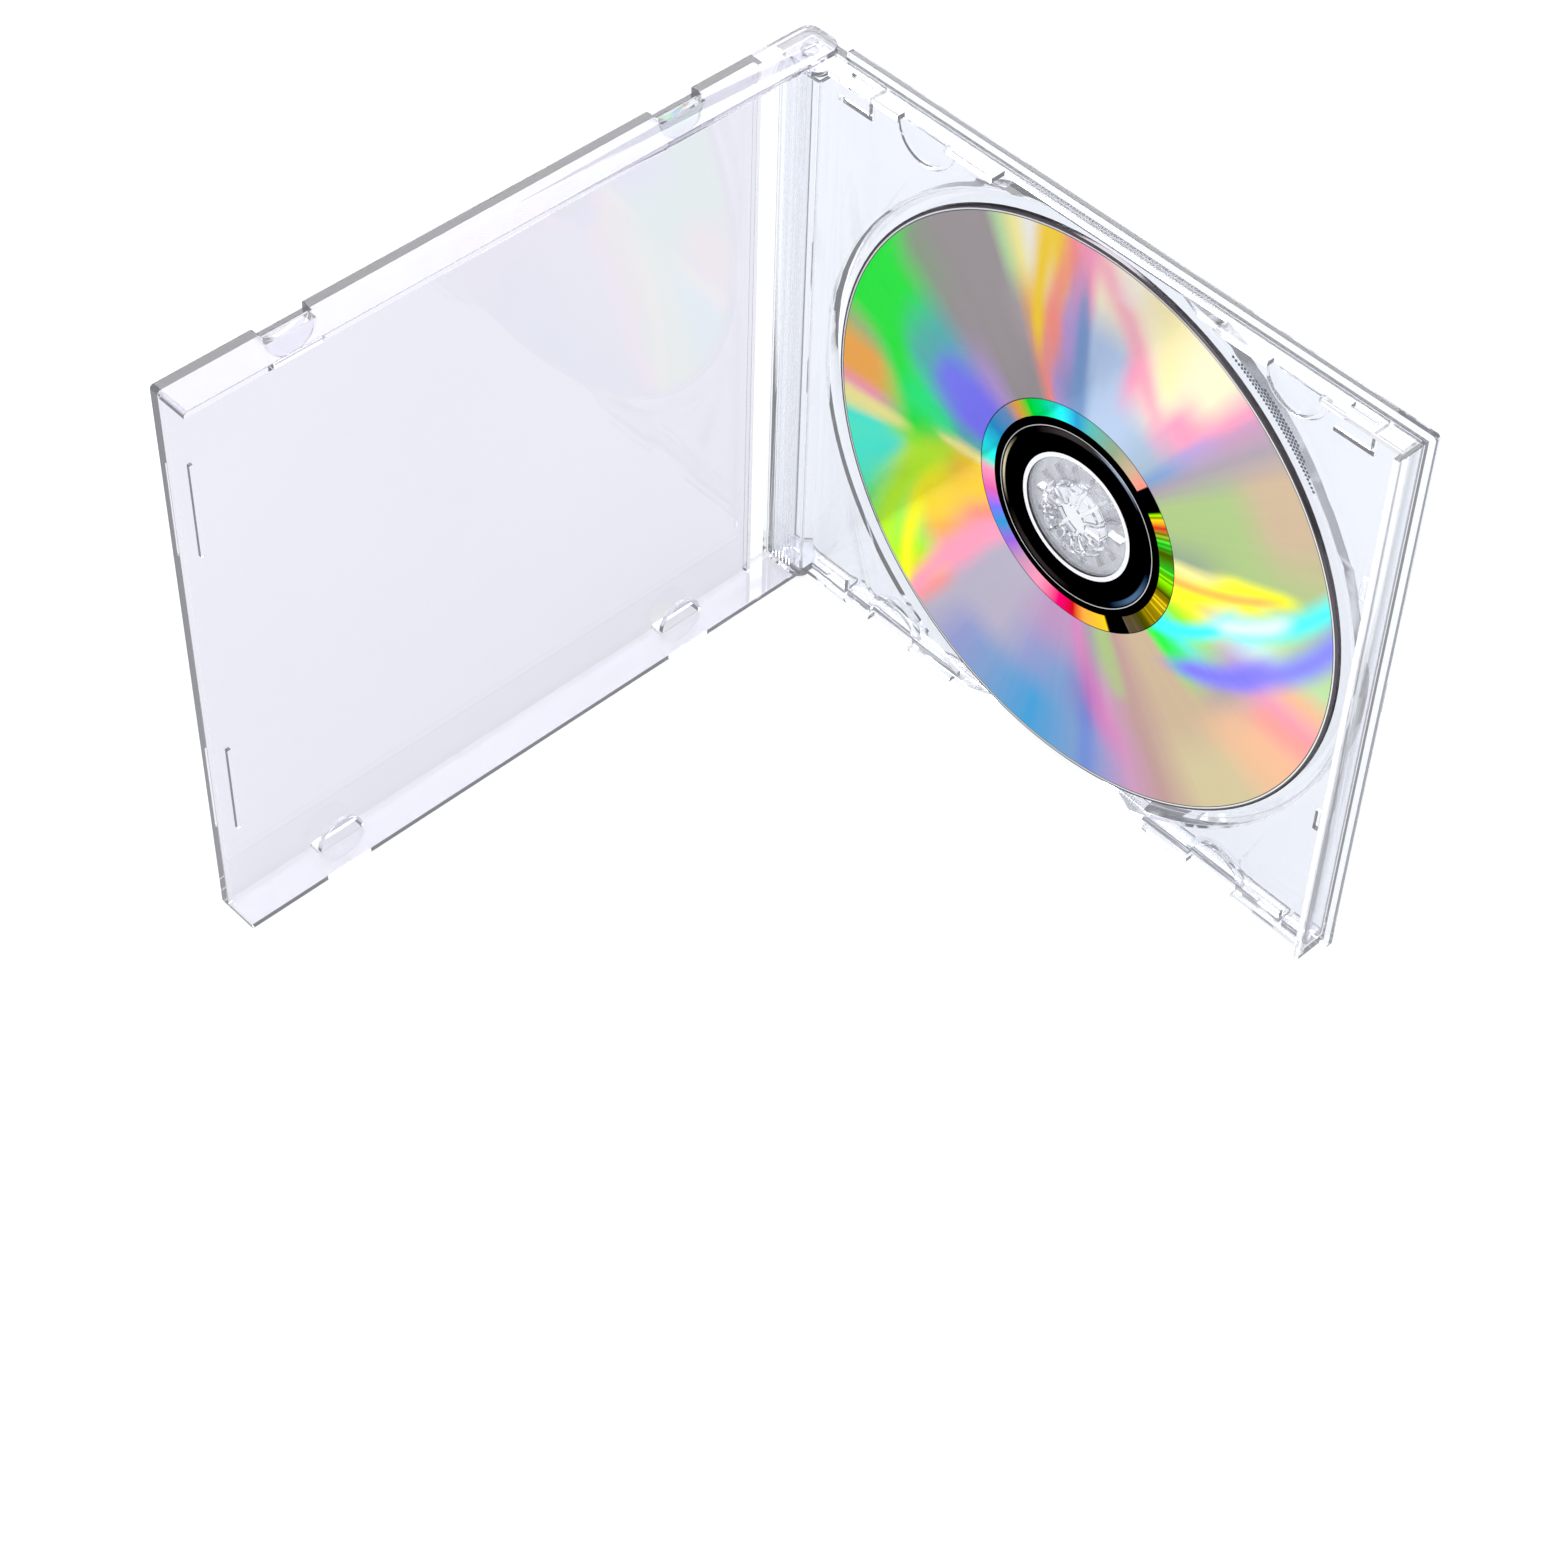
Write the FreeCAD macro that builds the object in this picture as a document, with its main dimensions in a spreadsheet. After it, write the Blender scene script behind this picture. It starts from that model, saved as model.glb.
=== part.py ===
import FreeCAD, Part
import math
import os
import re

import Sketcher
from FreeCAD import Placement, Rotation, Vector

# Jewel case for one compact disc: clear lid, clear base, clear media tray and the disc.
# Each piece is drawn in the closed case's own frame, in millimetres: X runs from the spine to the opening
# edge, Y along the hinge with 0 at mid height, and Z from the base's outer face to the lid's outer face.
# The pieces are then stood on their long sides with the lid opened.

SIZES = {
    # disc
    "disc_radius": 60.0,
    "disc_thickness": 1.2,
    "bore_radius": 7.5,
    "ring_radius": 18.5,
    "ring_width": 0.6,
    "ring_height": 0.15,
    "disc_chamfer": 0.2,
    # room that the case leaves round the disc
    "hinge_margin": 15.2,
    "opening_margin": 6.8,
    "side_margin": 2.5,
    "case_thickness": 10.1,
    "panel_wall": 1.2,
    "corner_round": 0.8,
    # hinge
    "open_angle": 90.0,
    "hinge_inset": 4.7,
    "pin_radius": 1.6,
    "pin_gap": 0.08,
    "pin_chamfer": 0.35,
    "pin_mark_radius": 2.1,
    "pin_mark_depth": 0.35,
    "arm_free_round": 3.0,
    "arm_panel_round": 2.4,
    "flange_gap": 0.4,
    # lid
    "lid_wall": 1.3,
    "landing_gap": 0.1,
    "lid_side_gap": 0.15,
    "strip_gap": 2.6,
    "hinge_lip_depth": 1.1,
    "hinge_lip_wall": 1.0,
    "front_lip_depth": 0.9,
    "front_lip_wall": 1.0,
    "front_lip_gap": 0.2,
    # booklet tabs and ribs
    "first_tab": 33.0,
    "second_tab_inset": 25.0,
    "tab_radius": 5.0,
    "tab_thickness": 1.0,
    "booklet_gap": 1.5,
    "rib_inset": 4.5,
    "rib_length": 20.5,
    "rib_spread": 67.4,
    "rib_width": 0.8,
    "rib_height": 0.7,
    # base
    "base_wall": 1.1,
    "side_gap": 0.2,
    "notch_depth": 1.8,
    "notch_gap": 0.5,
    "low_wall_drop": 3.3,
    "low_wall_length": 50.5,
    "spine_wall": 1.2,
    "spine_step": 1.4,
    "cheek_length": 10.4,
    "cheek_round": 2.4,
    "front_wall": 1.2,
    "front_wall_gap": 0.5,
    # media tray
    "tray_gap": 0.15,
    "tray_wall": 1.0,
    "card_gap": 0.6,
    "floor_wall": 1.0,
    "deck_rise": 0.57,
    "strip_edge": 10.8,
    "strip_step": 0.2,
    "well_gap": 1.5,
    "well_slope": 1.9,
    "well_wall": 0.9,
    "recess_gap": 0.9,
    "recess_depth": 1.0,
    "front_slot_inset": 1.9,
    "front_slot_width": 1.1,
    "front_slot_length": 4.8,
    "front_slot_spread": 56.8,
    "groove_first": 2.6,
    "groove_pitch": 0.95,
    "groove_width": 0.35,
    "groove_depth": 0.25,
    "groove_count": 6,
    # snap tabs that hold the tray in the base
    "first_snap": 16.6,
    "second_snap_inset": 12.2,
    "snap_length": 8.4,
    "snap_width": 4.2,
    "snap_slot": 0.8,
    "snap_nub_length": 5.0,
    "snap_nub_rise": 1.5,
    "snap_nub_height": 1.0,
    "snap_nub_reach": 0.5,
    "snap_window_gap": 0.2,
    # hub
    "seat_radius": 12.5,
    "seat_rise": 0.8,
    "disc_seat_gap": 0.03,
    "hub_gap": 0.06,
    "hub_wall": 0.9,
    "hub_rise": 1.5,
    "hub_bead": 0.25,
    "hub_mouth_radius": 3.4,
    "petal_count": 14,
    "petal_slot": 0.7,
    "petal_slot_reach": 10.2,
}

# Levels and edges that several pieces share, as formulas of the sizes above.
DISC_CENTRE = "(hinge_margin + disc_radius)"
CASE_WIDTH = f"({DISC_CENTRE} + disc_radius + opening_margin)"
HALF_HEIGHT = "(disc_radius + side_margin)"
HINGE_LEVEL = "(case_thickness / 2)"
LID_INSIDE = "(case_thickness - panel_wall)"
LID_PANEL_START = "(strip_edge + strip_gap)"
LID_FREE_EDGE = "(panel_wall + landing_gap)"
LID_INNER_FACE = f"({HALF_HEIGHT} - lid_wall)"
SECOND_TAB = f"({CASE_WIDTH} - second_tab_inset)"
TAB_TOP = f"({LID_INSIDE} - booklet_gap)"
TAB_BOTTOM = f"({TAB_TOP} - tab_thickness)"
BASE_OUTER_FACE = f"({LID_INNER_FACE} - lid_side_gap)"
BASE_INNER_FACE = f"({BASE_OUTER_FACE} - base_wall)"
SIDE_TOP = f"({TAB_BOTTOM} - side_gap)"
NOTCH_FLOOR = f"({SIDE_TOP} - notch_depth)"
LOW_WALL_TOP = f"({SIDE_TOP} - low_wall_drop)"
SPINE_TOP = "(case_thickness - spine_step)"
FLANGE_START = "(2 * hinge_inset + flange_gap)"
FRONT_WALL_TOP = f"({LID_INSIDE} - front_wall_gap)"
FRONT_OUTER_FACE = f"({CASE_WIDTH} - front_lip_wall - front_lip_gap)"
FRONT_INNER_FACE = f"({FRONT_OUTER_FACE} - front_wall)"
TRAY_START = "(spine_wall + tray_gap)"
TRAY_END = f"({FRONT_INNER_FACE} - tray_gap)"
TRAY_EDGE = f"({BASE_INNER_FACE} - tray_gap)"
STRIP_TOP = f"({SPINE_TOP} - strip_step)"
FLOOR_UNDERSIDE = "(panel_wall + card_gap)"
FLOOR_TOP = f"({FLOOR_UNDERSIDE} + floor_wall)"
SEAT_TOP = f"({FLOOR_TOP} + seat_rise)"
DISC_UNDERSIDE = f"({SEAT_TOP} + disc_seat_gap)"
DISC_TOP = f"({DISC_UNDERSIDE} + disc_thickness)"
DECK_TOP = f"({DISC_TOP} + deck_rise)"
DECK_UNDERSIDE = f"({DECK_TOP} - tray_wall)"
SECOND_SNAP = f"({CASE_WIDTH} - second_snap_inset)"
SNAP_NUB_LEVEL = "(panel_wall + snap_nub_rise)"
HUB_TOP = f"({DISC_TOP} + hub_rise)"
HUB_RADIUS = "(bore_radius - hub_gap)"
WELL_RADIUS = "(disc_radius + well_gap)"
WELL_MOUTH = f"({WELL_RADIUS} + well_slope)"
WELL_SKIN = f"({WELL_MOUTH} + well_wall - well_slope / 2)"
OVERCUT = "case_thickness"

TABS = ("first_tab", SECOND_TAB)
SNAPS = ("first_snap", SECOND_SNAP)

document = FreeCAD.newDocument("JewelCase")


# The size sheet

def fill_sheet():
    """Put every driving size into the document's sheet under its own alias."""
    sheet = document.addObject("Spreadsheet::Sheet", "Sizes")
    for row, (name, number) in enumerate(SIZES.items(), start=1):
        sheet.set(f"A{row}", name)
        sheet.set(f"B{row}", str(number))
        sheet.setAlias(f"B{row}", name)
    document.recompute()
    return sheet


def bound(formula):
    """Write a formula of size names as one that the sheet can answer."""
    return re.sub(r"[a-z]\w+\b(?!\()", r"Sizes.\g<0>", formula)


def measured(formula):
    """The present value of a formula of sizes."""
    return float(sheet.evalExpression(bound(formula)))


# Sketches whose points follow the sizes

def origin_plane(body, role):
    """One of a body's own origin planes or axes."""
    return next(item for item in body.Origin.OriginFeatures if item.Role == role)


def new_sketch(body, name, role="XY_Plane", level="0"):
    """A sketch on an origin plane, lifted along the plane's normal."""
    sketch = body.newObject("Sketcher::SketchObject", name)
    sketch.AttachmentSupport = [(origin_plane(body, role), "")]
    sketch.MapMode = "FlatFace"
    sketch.setExpression("AttachmentOffset.Base.z", bound(level))
    return sketch


def tie(sketch, geometry, point, across, up):
    """Hold one point of a sketch at two formulas from the sketch's origin."""
    for direction, formula in (("DistanceX", across), ("DistanceY", up)):
        if formula is None:
            continue
        rule = Sketcher.Constraint(direction, -1, 1, geometry, point, measured(formula))
        number = sketch.addConstraint(rule)
        sketch.setExpression(f"Constraints[{number}]", bound(formula))


def draw_outline(sketch, corners):
    """A closed outline of straight edges through the given corners."""
    points = [Vector(measured(across), measured(up), 0) for across, up in corners]
    first = sketch.GeometryCount
    count = len(points)
    for number in range(count):
        edge = Part.LineSegment(points[number], points[(number + 1) % count])
        sketch.addGeometry(edge, False)
    for number, (across, up) in enumerate(corners):
        after = first + (number + 1) % count
        sketch.addConstraint(Sketcher.Constraint("Coincident", first + number, 2, after, 1))
        tie(sketch, first + number, 1, across, up)


def draw_rectangle(sketch, left, right, bottom, top):
    draw_outline(sketch, [(left, bottom), (right, bottom), (right, top), (left, top)])


def draw_circle(sketch, across, up, radius):
    centre = Vector(measured(across), measured(up), 0)
    circle = Part.Circle(centre, Vector(0, 0, 1), measured(radius))
    number = sketch.addGeometry(circle, False)
    tie(sketch, number, 3, across, up)
    rule = sketch.addConstraint(Sketcher.Constraint("Radius", number, measured(radius)))
    sketch.setExpression(f"Constraints[{rule}]", bound(radius))


def draw_half_moon(sketch, across, edge, radius):
    """A half disc whose straight side lies on a line Y = edge and whose round side hangs below it."""
    centre = Vector(measured(across), measured(edge), 0)
    reach = measured(radius)
    full = Part.Circle(centre, Vector(0, 0, 1), reach)
    arc = sketch.addGeometry(Part.ArcOfCircle(full, math.pi, 2 * math.pi), False)
    left = centre - Vector(reach, 0, 0)
    right = centre + Vector(reach, 0, 0)
    side = sketch.addGeometry(Part.LineSegment(right, left), False)
    sketch.addConstraint(Sketcher.Constraint("Coincident", arc, 1, side, 2))
    sketch.addConstraint(Sketcher.Constraint("Coincident", arc, 2, side, 1))
    tie(sketch, arc, 3, across, edge)
    tie(sketch, side, 1, None, edge)
    tie(sketch, side, 2, None, edge)
    rule = sketch.addConstraint(Sketcher.Constraint("Radius", arc, reach))
    sketch.setExpression(f"Constraints[{rule}]", bound(radius))


def draw_axis(sketch, across):
    """A construction line along the case's thickness, for features that turn about it."""
    low = Vector(measured(across), 0, 0)
    high = Vector(measured(across), measured("case_thickness"), 0)
    number = sketch.addGeometry(Part.LineSegment(low, high), True)
    tie(sketch, number, 1, across, "0")
    tie(sketch, number, 2, across, "case_thickness")


# Features

def pad(body, sketch, length, name, backwards=False):
    feature = body.newObject("PartDesign::Pad", name)
    feature.Profile = sketch
    feature.setExpression("Length", bound(length))
    feature.Reversed = backwards
    document.recompute()
    return feature


def pocket(body, sketch, length, name, backwards=False):
    """Cut a sketch into the body and make sure that it really took material away."""
    before = body.Shape.Volume
    feature = body.newObject("PartDesign::Pocket", name)
    feature.Profile = sketch
    feature.setExpression("Length", bound(length))
    feature.Reversed = backwards
    document.recompute()
    if body.Shape.Volume >= before:
        raise RuntimeError(f"{name} cuts nothing")
    return feature


def trim(body, sketch, name):
    """Cut away what lies in the sketch, all the way through on both sides, if anything does."""
    feature = body.newObject("PartDesign::Pocket", name)
    feature.Profile = sketch
    feature.Type = "ThroughAll"
    feature.Midplane = True
    document.recompute()


def turned(body, kind, sketch, name):
    """A revolution or groove about the construction line of its own sketch."""
    feature = body.newObject(f"PartDesign::{kind}", name)
    feature.Profile = sketch
    feature.ReferenceAxis = (sketch, ["Axis0"])
    feature.Angle = 360
    document.recompute()
    return feature


def mirror(body, features, name, role="XZ_Plane"):
    """Repeat features on the other side of an origin plane."""
    feature = body.newObject("PartDesign::Mirrored", name)
    feature.Originals = features
    feature.MirrorPlane = (origin_plane(body, role), [""])
    body.Tip = feature
    document.recompute()
    return feature


def matching_edges(shape, test):
    """Names of the edges whose middle point and direction pass a test."""
    names = []
    for number, edge in enumerate(shape.Edges, start=1):
        middle = edge.valueAt((edge.FirstParameter + edge.LastParameter) / 2)
        if test(edge, middle):
            names.append(f"Edge{number}")
    return names


def soften(body, kind, size_property, size, names, name):
    """A fillet or chamfer on named edges of the body's last feature."""
    base = body.Tip
    feature = body.newObject(f"PartDesign::{kind}", name)
    feature.Base = (base, names)
    feature.setExpression(size_property, bound(size))
    body.Tip = feature
    document.recompute()
    return feature


def near(number, target, tolerance=0.01):
    return abs(number - target) < tolerance


def runs_along(edge, direction):
    """True for a straight edge parallel to a direction."""
    if edge.Curve.TypeId != "Part::GeomLine":
        return False
    return abs(edge.tangentAt(edge.FirstParameter).dot(direction)) > 0.999


def round_corners(body, place, name):
    """Round the upright corners of an outline that stand at one distance from the spine."""
    upright = Vector(0, 0, 1)
    reach = measured(HALF_HEIGHT)
    corners = matching_edges(
        body.Shape,
        lambda edge, spot: runs_along(edge, upright) and near(spot.x, place) and near(abs(spot.y), reach),
    )
    soften(body, "Fillet", "Radius", "corner_round", corners, name)


def new_body(label):
    body = document.addObject("PartDesign::Body", label)
    body.Label = label
    return body


# Lid

def lid_panel(body):
    sketch = new_sketch(body, "LidPanelOutline", level=LID_INSIDE)
    draw_rectangle(sketch, LID_PANEL_START, CASE_WIDTH, f"-{HALF_HEIGHT}", HALF_HEIGHT)
    pad(body, sketch, "panel_wall", "LidPanel")


def lid_sides(body):
    """Side walls that run on past the panel as the hinge arms, with rounded ends."""
    sketch = new_sketch(body, "LidSideOutline", "XZ_Plane", f"-{HALF_HEIGHT}")
    draw_rectangle(sketch, "0", CASE_WIDTH, LID_FREE_EDGE, "case_thickness")
    wall = pad(body, sketch, "lid_wall", "LidSide")
    mirror(body, [wall], "LidSides")
    across = Vector(0, 1, 0)
    free_edge = measured(LID_FREE_EDGE)
    ends = matching_edges(
        body.Shape,
        lambda edge, middle: runs_along(edge, across) and near(middle.x, 0) and near(middle.z, free_edge),
    )
    soften(body, "Fillet", "Radius", "arm_free_round", ends, "ArmFreeRound")
    thickness = measured("case_thickness")
    ends = matching_edges(
        body.Shape,
        lambda edge, middle: runs_along(edge, across) and near(middle.x, 0) and near(middle.z, thickness),
    )
    soften(body, "Fillet", "Radius", "arm_panel_round", ends, "ArmPanelRound")


def lid_lips(body):
    """Shallow lips under the panel's two free ends."""
    hinge = new_sketch(body, "HingeLipOutline", level=LID_INSIDE)
    hinge_end = f"{LID_PANEL_START} + hinge_lip_wall"
    draw_rectangle(hinge, LID_PANEL_START, hinge_end, f"-{LID_INNER_FACE}", LID_INNER_FACE)
    pad(body, hinge, "hinge_lip_depth", "HingeLip", backwards=True)
    front = new_sketch(body, "FrontLipOutline", level=LID_INSIDE)
    front_start = f"{CASE_WIDTH} - front_lip_wall"
    draw_rectangle(front, front_start, CASE_WIDTH, f"-{LID_INNER_FACE}", LID_INNER_FACE)
    pad(body, front, "front_lip_depth", "FrontLip", backwards=True)
    round_corners(body, measured(CASE_WIDTH), "LidCornerRound")


def booklet_tabs(body):
    """Half-moon tabs on the side walls, and the window in the wall above each."""
    sketch = new_sketch(body, "TabOutlines", level=TAB_BOTTOM)
    for place in TABS:
        draw_half_moon(sketch, place, LID_INNER_FACE, "tab_radius")
    tabs = pad(body, sketch, "tab_thickness", "BookletTabs")
    windows = new_sketch(body, "TabWindows", "XZ_Plane", f"-{HALF_HEIGHT}")
    for place in TABS:
        draw_rectangle(windows, f"{place} - tab_radius", f"{place} + tab_radius", TAB_TOP, "case_thickness")
    cut = pocket(body, windows, "lid_wall", "TabWindowCut", backwards=True)
    mirror(body, [tabs, cut], "BookletTabsBothSides")


def booklet_ribs(body):
    """Two slim ribs under the panel that keep the booklet from sliding out."""
    sketch = new_sketch(body, "RibOutline", level=LID_INSIDE)
    middle = f"{CASE_WIDTH} - rib_inset"
    low = "(rib_spread - rib_length) / 2"
    high = "(rib_spread + rib_length) / 2"
    draw_rectangle(sketch, f"{middle} - rib_width / 2", f"{middle} + rib_width / 2", low, high)
    rib = pad(body, sketch, "rib_height", "BookletRib", backwards=True)
    mirror(body, [rib], "BookletRibs")


def pivot_pins(body):
    """Pins on the arms' inner faces, and the shallow half-moon over each on the outer face."""
    sketch = new_sketch(body, "PinOutline", "XZ_Plane", f"-{LID_INNER_FACE}")
    draw_circle(sketch, "hinge_inset", HINGE_LEVEL, "pin_radius")
    pin = pad(body, sketch, "lid_side_gap + base_wall", "PivotPin")
    marks = new_sketch(body, "PinMarkOutline", "XZ_Plane", f"-{HALF_HEIGHT}")
    draw_half_moon(marks, "hinge_inset", HINGE_LEVEL, "pin_mark_radius")
    mark = pocket(body, marks, "pin_mark_depth", "PinMark", backwards=True)
    mirror(body, [pin, mark], "PivotPins")
    tip = measured(BASE_INNER_FACE)
    tips = matching_edges(
        body.Shape,
        lambda edge, middle: edge.Curve.TypeId == "Part::GeomCircle" and near(abs(middle.y), tip),
    )
    soften(body, "Chamfer", "Size", "pin_chamfer", tips, "PinLeadIn")


def make_lid():
    body = new_body("lid")
    lid_panel(body)
    lid_sides(body)
    lid_lips(body)
    booklet_tabs(body)
    booklet_ribs(body)
    pivot_pins(body)
    return body


# Base

def base_panel(body):
    """Bottom panel, full size but for the corners where the lid's arms swing."""
    sketch = new_sketch(body, "BasePanelOutline")
    draw_outline(sketch, [
        ("0", f"-{BASE_OUTER_FACE}"),
        (FLANGE_START, f"-{BASE_OUTER_FACE}"),
        (FLANGE_START, f"-{HALF_HEIGHT}"),
        (CASE_WIDTH, f"-{HALF_HEIGHT}"),
        (CASE_WIDTH, HALF_HEIGHT),
        (FLANGE_START, HALF_HEIGHT),
        (FLANGE_START, BASE_OUTER_FACE),
        ("0", BASE_OUTER_FACE),
    ])
    pad(body, sketch, "panel_wall", "BasePanel")
    round_corners(body, measured(CASE_WIDTH), "BaseCornerRound")
    round_corners(body, measured(FLANGE_START), "FlangeCornerRound")


def side_wall_corners():
    """Corners of a side wall seen from outside: hinge cheek, two tab notches and the low middle."""
    notch = "(tab_radius + notch_gap)"
    low = "(low_wall_length / 2)"
    return [
        ("0", "0"),
        (FRONT_OUTER_FACE, "0"),
        (FRONT_OUTER_FACE, SIDE_TOP),
        (f"{SECOND_TAB} + {notch}", SIDE_TOP),
        (f"{SECOND_TAB} + {notch}", NOTCH_FLOOR),
        (f"{SECOND_TAB} - {notch}", NOTCH_FLOOR),
        (f"{SECOND_TAB} - {notch}", SIDE_TOP),
        (f"{DISC_CENTRE} + {low}", SIDE_TOP),
        (f"{DISC_CENTRE} + {low}", LOW_WALL_TOP),
        (f"{DISC_CENTRE} - {low}", LOW_WALL_TOP),
        (f"{DISC_CENTRE} - {low}", SIDE_TOP),
        (f"first_tab + {notch}", SIDE_TOP),
        (f"first_tab + {notch}", NOTCH_FLOOR),
        (f"first_tab - {notch}", NOTCH_FLOOR),
        (f"first_tab - {notch}", SIDE_TOP),
        ("cheek_length", SIDE_TOP),
        ("cheek_length", SPINE_TOP),
        ("0", SPINE_TOP),
    ]


def base_sides(body):
    sketch = new_sketch(body, "BaseSideOutline", "XZ_Plane", f"-{BASE_OUTER_FACE}")
    draw_outline(sketch, side_wall_corners())
    wall = pad(body, sketch, "base_wall", "BaseSide")
    mirror(body, [wall], "BaseSides")
    across = Vector(0, 1, 0)
    edge_place = measured("cheek_length")
    top = measured(SPINE_TOP)
    corners = matching_edges(
        body.Shape,
        lambda edge, middle: runs_along(edge, across) and near(middle.x, edge_place) and near(middle.z, top),
    )
    soften(body, "Fillet", "Radius", "cheek_round", corners, "CheekRound")


def base_ends(body):
    """Spine wall and opening-edge wall."""
    spine = new_sketch(body, "SpineOutline")
    draw_rectangle(spine, "0", "spine_wall", f"-{BASE_OUTER_FACE}", BASE_OUTER_FACE)
    pad(body, spine, SPINE_TOP, "Spine")
    front = new_sketch(body, "FrontOutline")
    draw_rectangle(front, FRONT_INNER_FACE, FRONT_OUTER_FACE, f"-{BASE_OUTER_FACE}", BASE_OUTER_FACE)
    pad(body, front, FRONT_WALL_TOP, "FrontWall")


def base_openings(body):
    """Pivot holes in the cheeks and windows for the tray's snap nubs."""
    holes = new_sketch(body, "PivotHoleOutline", "XZ_Plane", f"-{BASE_OUTER_FACE}")
    draw_circle(holes, "hinge_inset", HINGE_LEVEL, "pin_radius + pin_gap")
    for place in SNAPS:
        left = f"{place} - snap_nub_length / 2 - snap_window_gap"
        right = f"{place} + snap_nub_length / 2 + snap_window_gap"
        low = f"{SNAP_NUB_LEVEL} - snap_window_gap"
        high = f"{SNAP_NUB_LEVEL} + snap_nub_height + snap_window_gap"
        draw_rectangle(holes, left, right, low, high)
    cut = pocket(body, holes, "base_wall", "PivotHoleAndWindows", backwards=True)
    mirror(body, [cut], "PivotHolesAndWindows")


def make_base():
    body = new_body("base")
    base_panel(body)
    base_sides(body)
    base_ends(body)
    base_openings(body)
    return body


# Media tray

def tray_shell(body):
    """Deck with skirts all round, the well's cup under it and the raised hinge strip."""
    cup = new_sketch(body, "CupOutline", level=FLOOR_UNDERSIDE)
    draw_circle(cup, DISC_CENTRE, "0", WELL_SKIN)
    pad(body, cup, f"{DECK_UNDERSIDE} - {FLOOR_UNDERSIDE}", "WellCup")
    deck = new_sketch(body, "DeckOutline", level=DECK_UNDERSIDE)
    draw_rectangle(deck, TRAY_START, TRAY_END, f"-{TRAY_EDGE}", TRAY_EDGE)
    pad(body, deck, "tray_wall", "Deck")
    skirt = new_sketch(body, "SkirtOutline", level="panel_wall")
    draw_rectangle(skirt, TRAY_START, TRAY_END, f"-{TRAY_EDGE}", TRAY_EDGE)
    draw_rectangle(
        skirt,
        f"{TRAY_START} + tray_wall",
        f"{TRAY_END} - tray_wall",
        f"tray_wall - {TRAY_EDGE}",
        f"{TRAY_EDGE} - tray_wall",
    )
    pad(body, skirt, f"{DECK_UNDERSIDE} - panel_wall", "Skirt")
    rim = new_sketch(body, "TrimOutline", level="0")
    far = f"2 * {CASE_WIDTH}"
    draw_rectangle(rim, f"-{far}", far, f"-{far}", far)
    draw_rectangle(rim, TRAY_START, TRAY_END, f"-{TRAY_EDGE}", TRAY_EDGE)
    trim(body, rim, "TrimToTheBase")
    strip = new_sketch(body, "StripOutline", level=DECK_UNDERSIDE)
    draw_rectangle(strip, TRAY_START, "strip_edge", f"-{TRAY_EDGE}", TRAY_EDGE)
    pad(body, strip, f"{STRIP_TOP} - {DECK_UNDERSIDE}", "HingeStrip")
    hollow = new_sketch(body, "StripHollowOutline", level="panel_wall")
    draw_rectangle(
        hollow,
        f"{TRAY_START} + tray_wall",
        "strip_edge - tray_wall",
        f"tray_wall - {TRAY_EDGE}",
        f"{TRAY_EDGE} - tray_wall",
    )
    pocket(body, hollow, f"{STRIP_TOP} - tray_wall - panel_wall", "StripHollow", backwards=True)


def tray_well(body):
    """The disc's well: a flat floor and a wall that slopes out to the deck."""
    sketch = new_sketch(body, "WellSection", "XZ_Plane")
    draw_axis(sketch, DISC_CENTRE)
    draw_outline(sketch, [
        (DISC_CENTRE, FLOOR_TOP),
        (f"{DISC_CENTRE} + {WELL_RADIUS}", FLOOR_TOP),
        (f"{DISC_CENTRE} + {WELL_MOUTH}", DECK_TOP),
        (DISC_CENTRE, DECK_TOP),
    ])
    turned(body, "Groove", sketch, "Well")


def tab_recesses(body):
    """Half-moon dips in the deck under the lid's tabs, each with its own thin floor."""
    cups = new_sketch(body, "RecessCupOutlines", level=f"{DECK_UNDERSIDE} - recess_depth")
    dips = new_sketch(body, "RecessOutlines", level=DECK_TOP)
    for place in TABS:
        draw_half_moon(cups, place, TRAY_EDGE, "tab_radius + recess_gap + tray_wall")
        draw_half_moon(dips, place, TRAY_EDGE, "tab_radius + recess_gap")
    added = pad(body, cups, "recess_depth", "RecessCups")
    cut = pocket(body, dips, "recess_depth", "TabRecesses")
    mirror(body, [added, cut], "TabRecessesBothSides")


def snap_tabs(body):
    """Springy corners of the skirt: an L-shaped slot behind each and a nub in front."""
    slots = new_sketch(body, "SnapSlotOutlines", level=DECK_TOP)
    nubs = new_sketch(body, "SnapNubOutlines", level=SNAP_NUB_LEVEL)
    inner = f"({TRAY_EDGE} - snap_width)"
    for place in SNAPS:
        left = f"{place} - snap_length / 2"
        right = f"{place} + snap_length / 2"
        draw_outline(slots, [
            (left, inner),
            (right, inner),
            (right, TRAY_EDGE),
            (f"{right} - snap_slot", TRAY_EDGE),
            (f"{right} - snap_slot", f"{inner} + snap_slot"),
            (left, f"{inner} + snap_slot"),
        ])
        nub_left = f"{place} - snap_nub_length / 2"
        nub_right = f"{place} + snap_nub_length / 2"
        draw_rectangle(nubs, nub_left, nub_right, TRAY_EDGE, f"{TRAY_EDGE} + snap_nub_reach")
    cut = pocket(body, slots, f"{DECK_TOP} - panel_wall", "SnapSlots")
    added = pad(body, nubs, "snap_nub_height", "SnapNubs")
    mirror(body, [cut, added], "SnapTabsBothSides")


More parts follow.
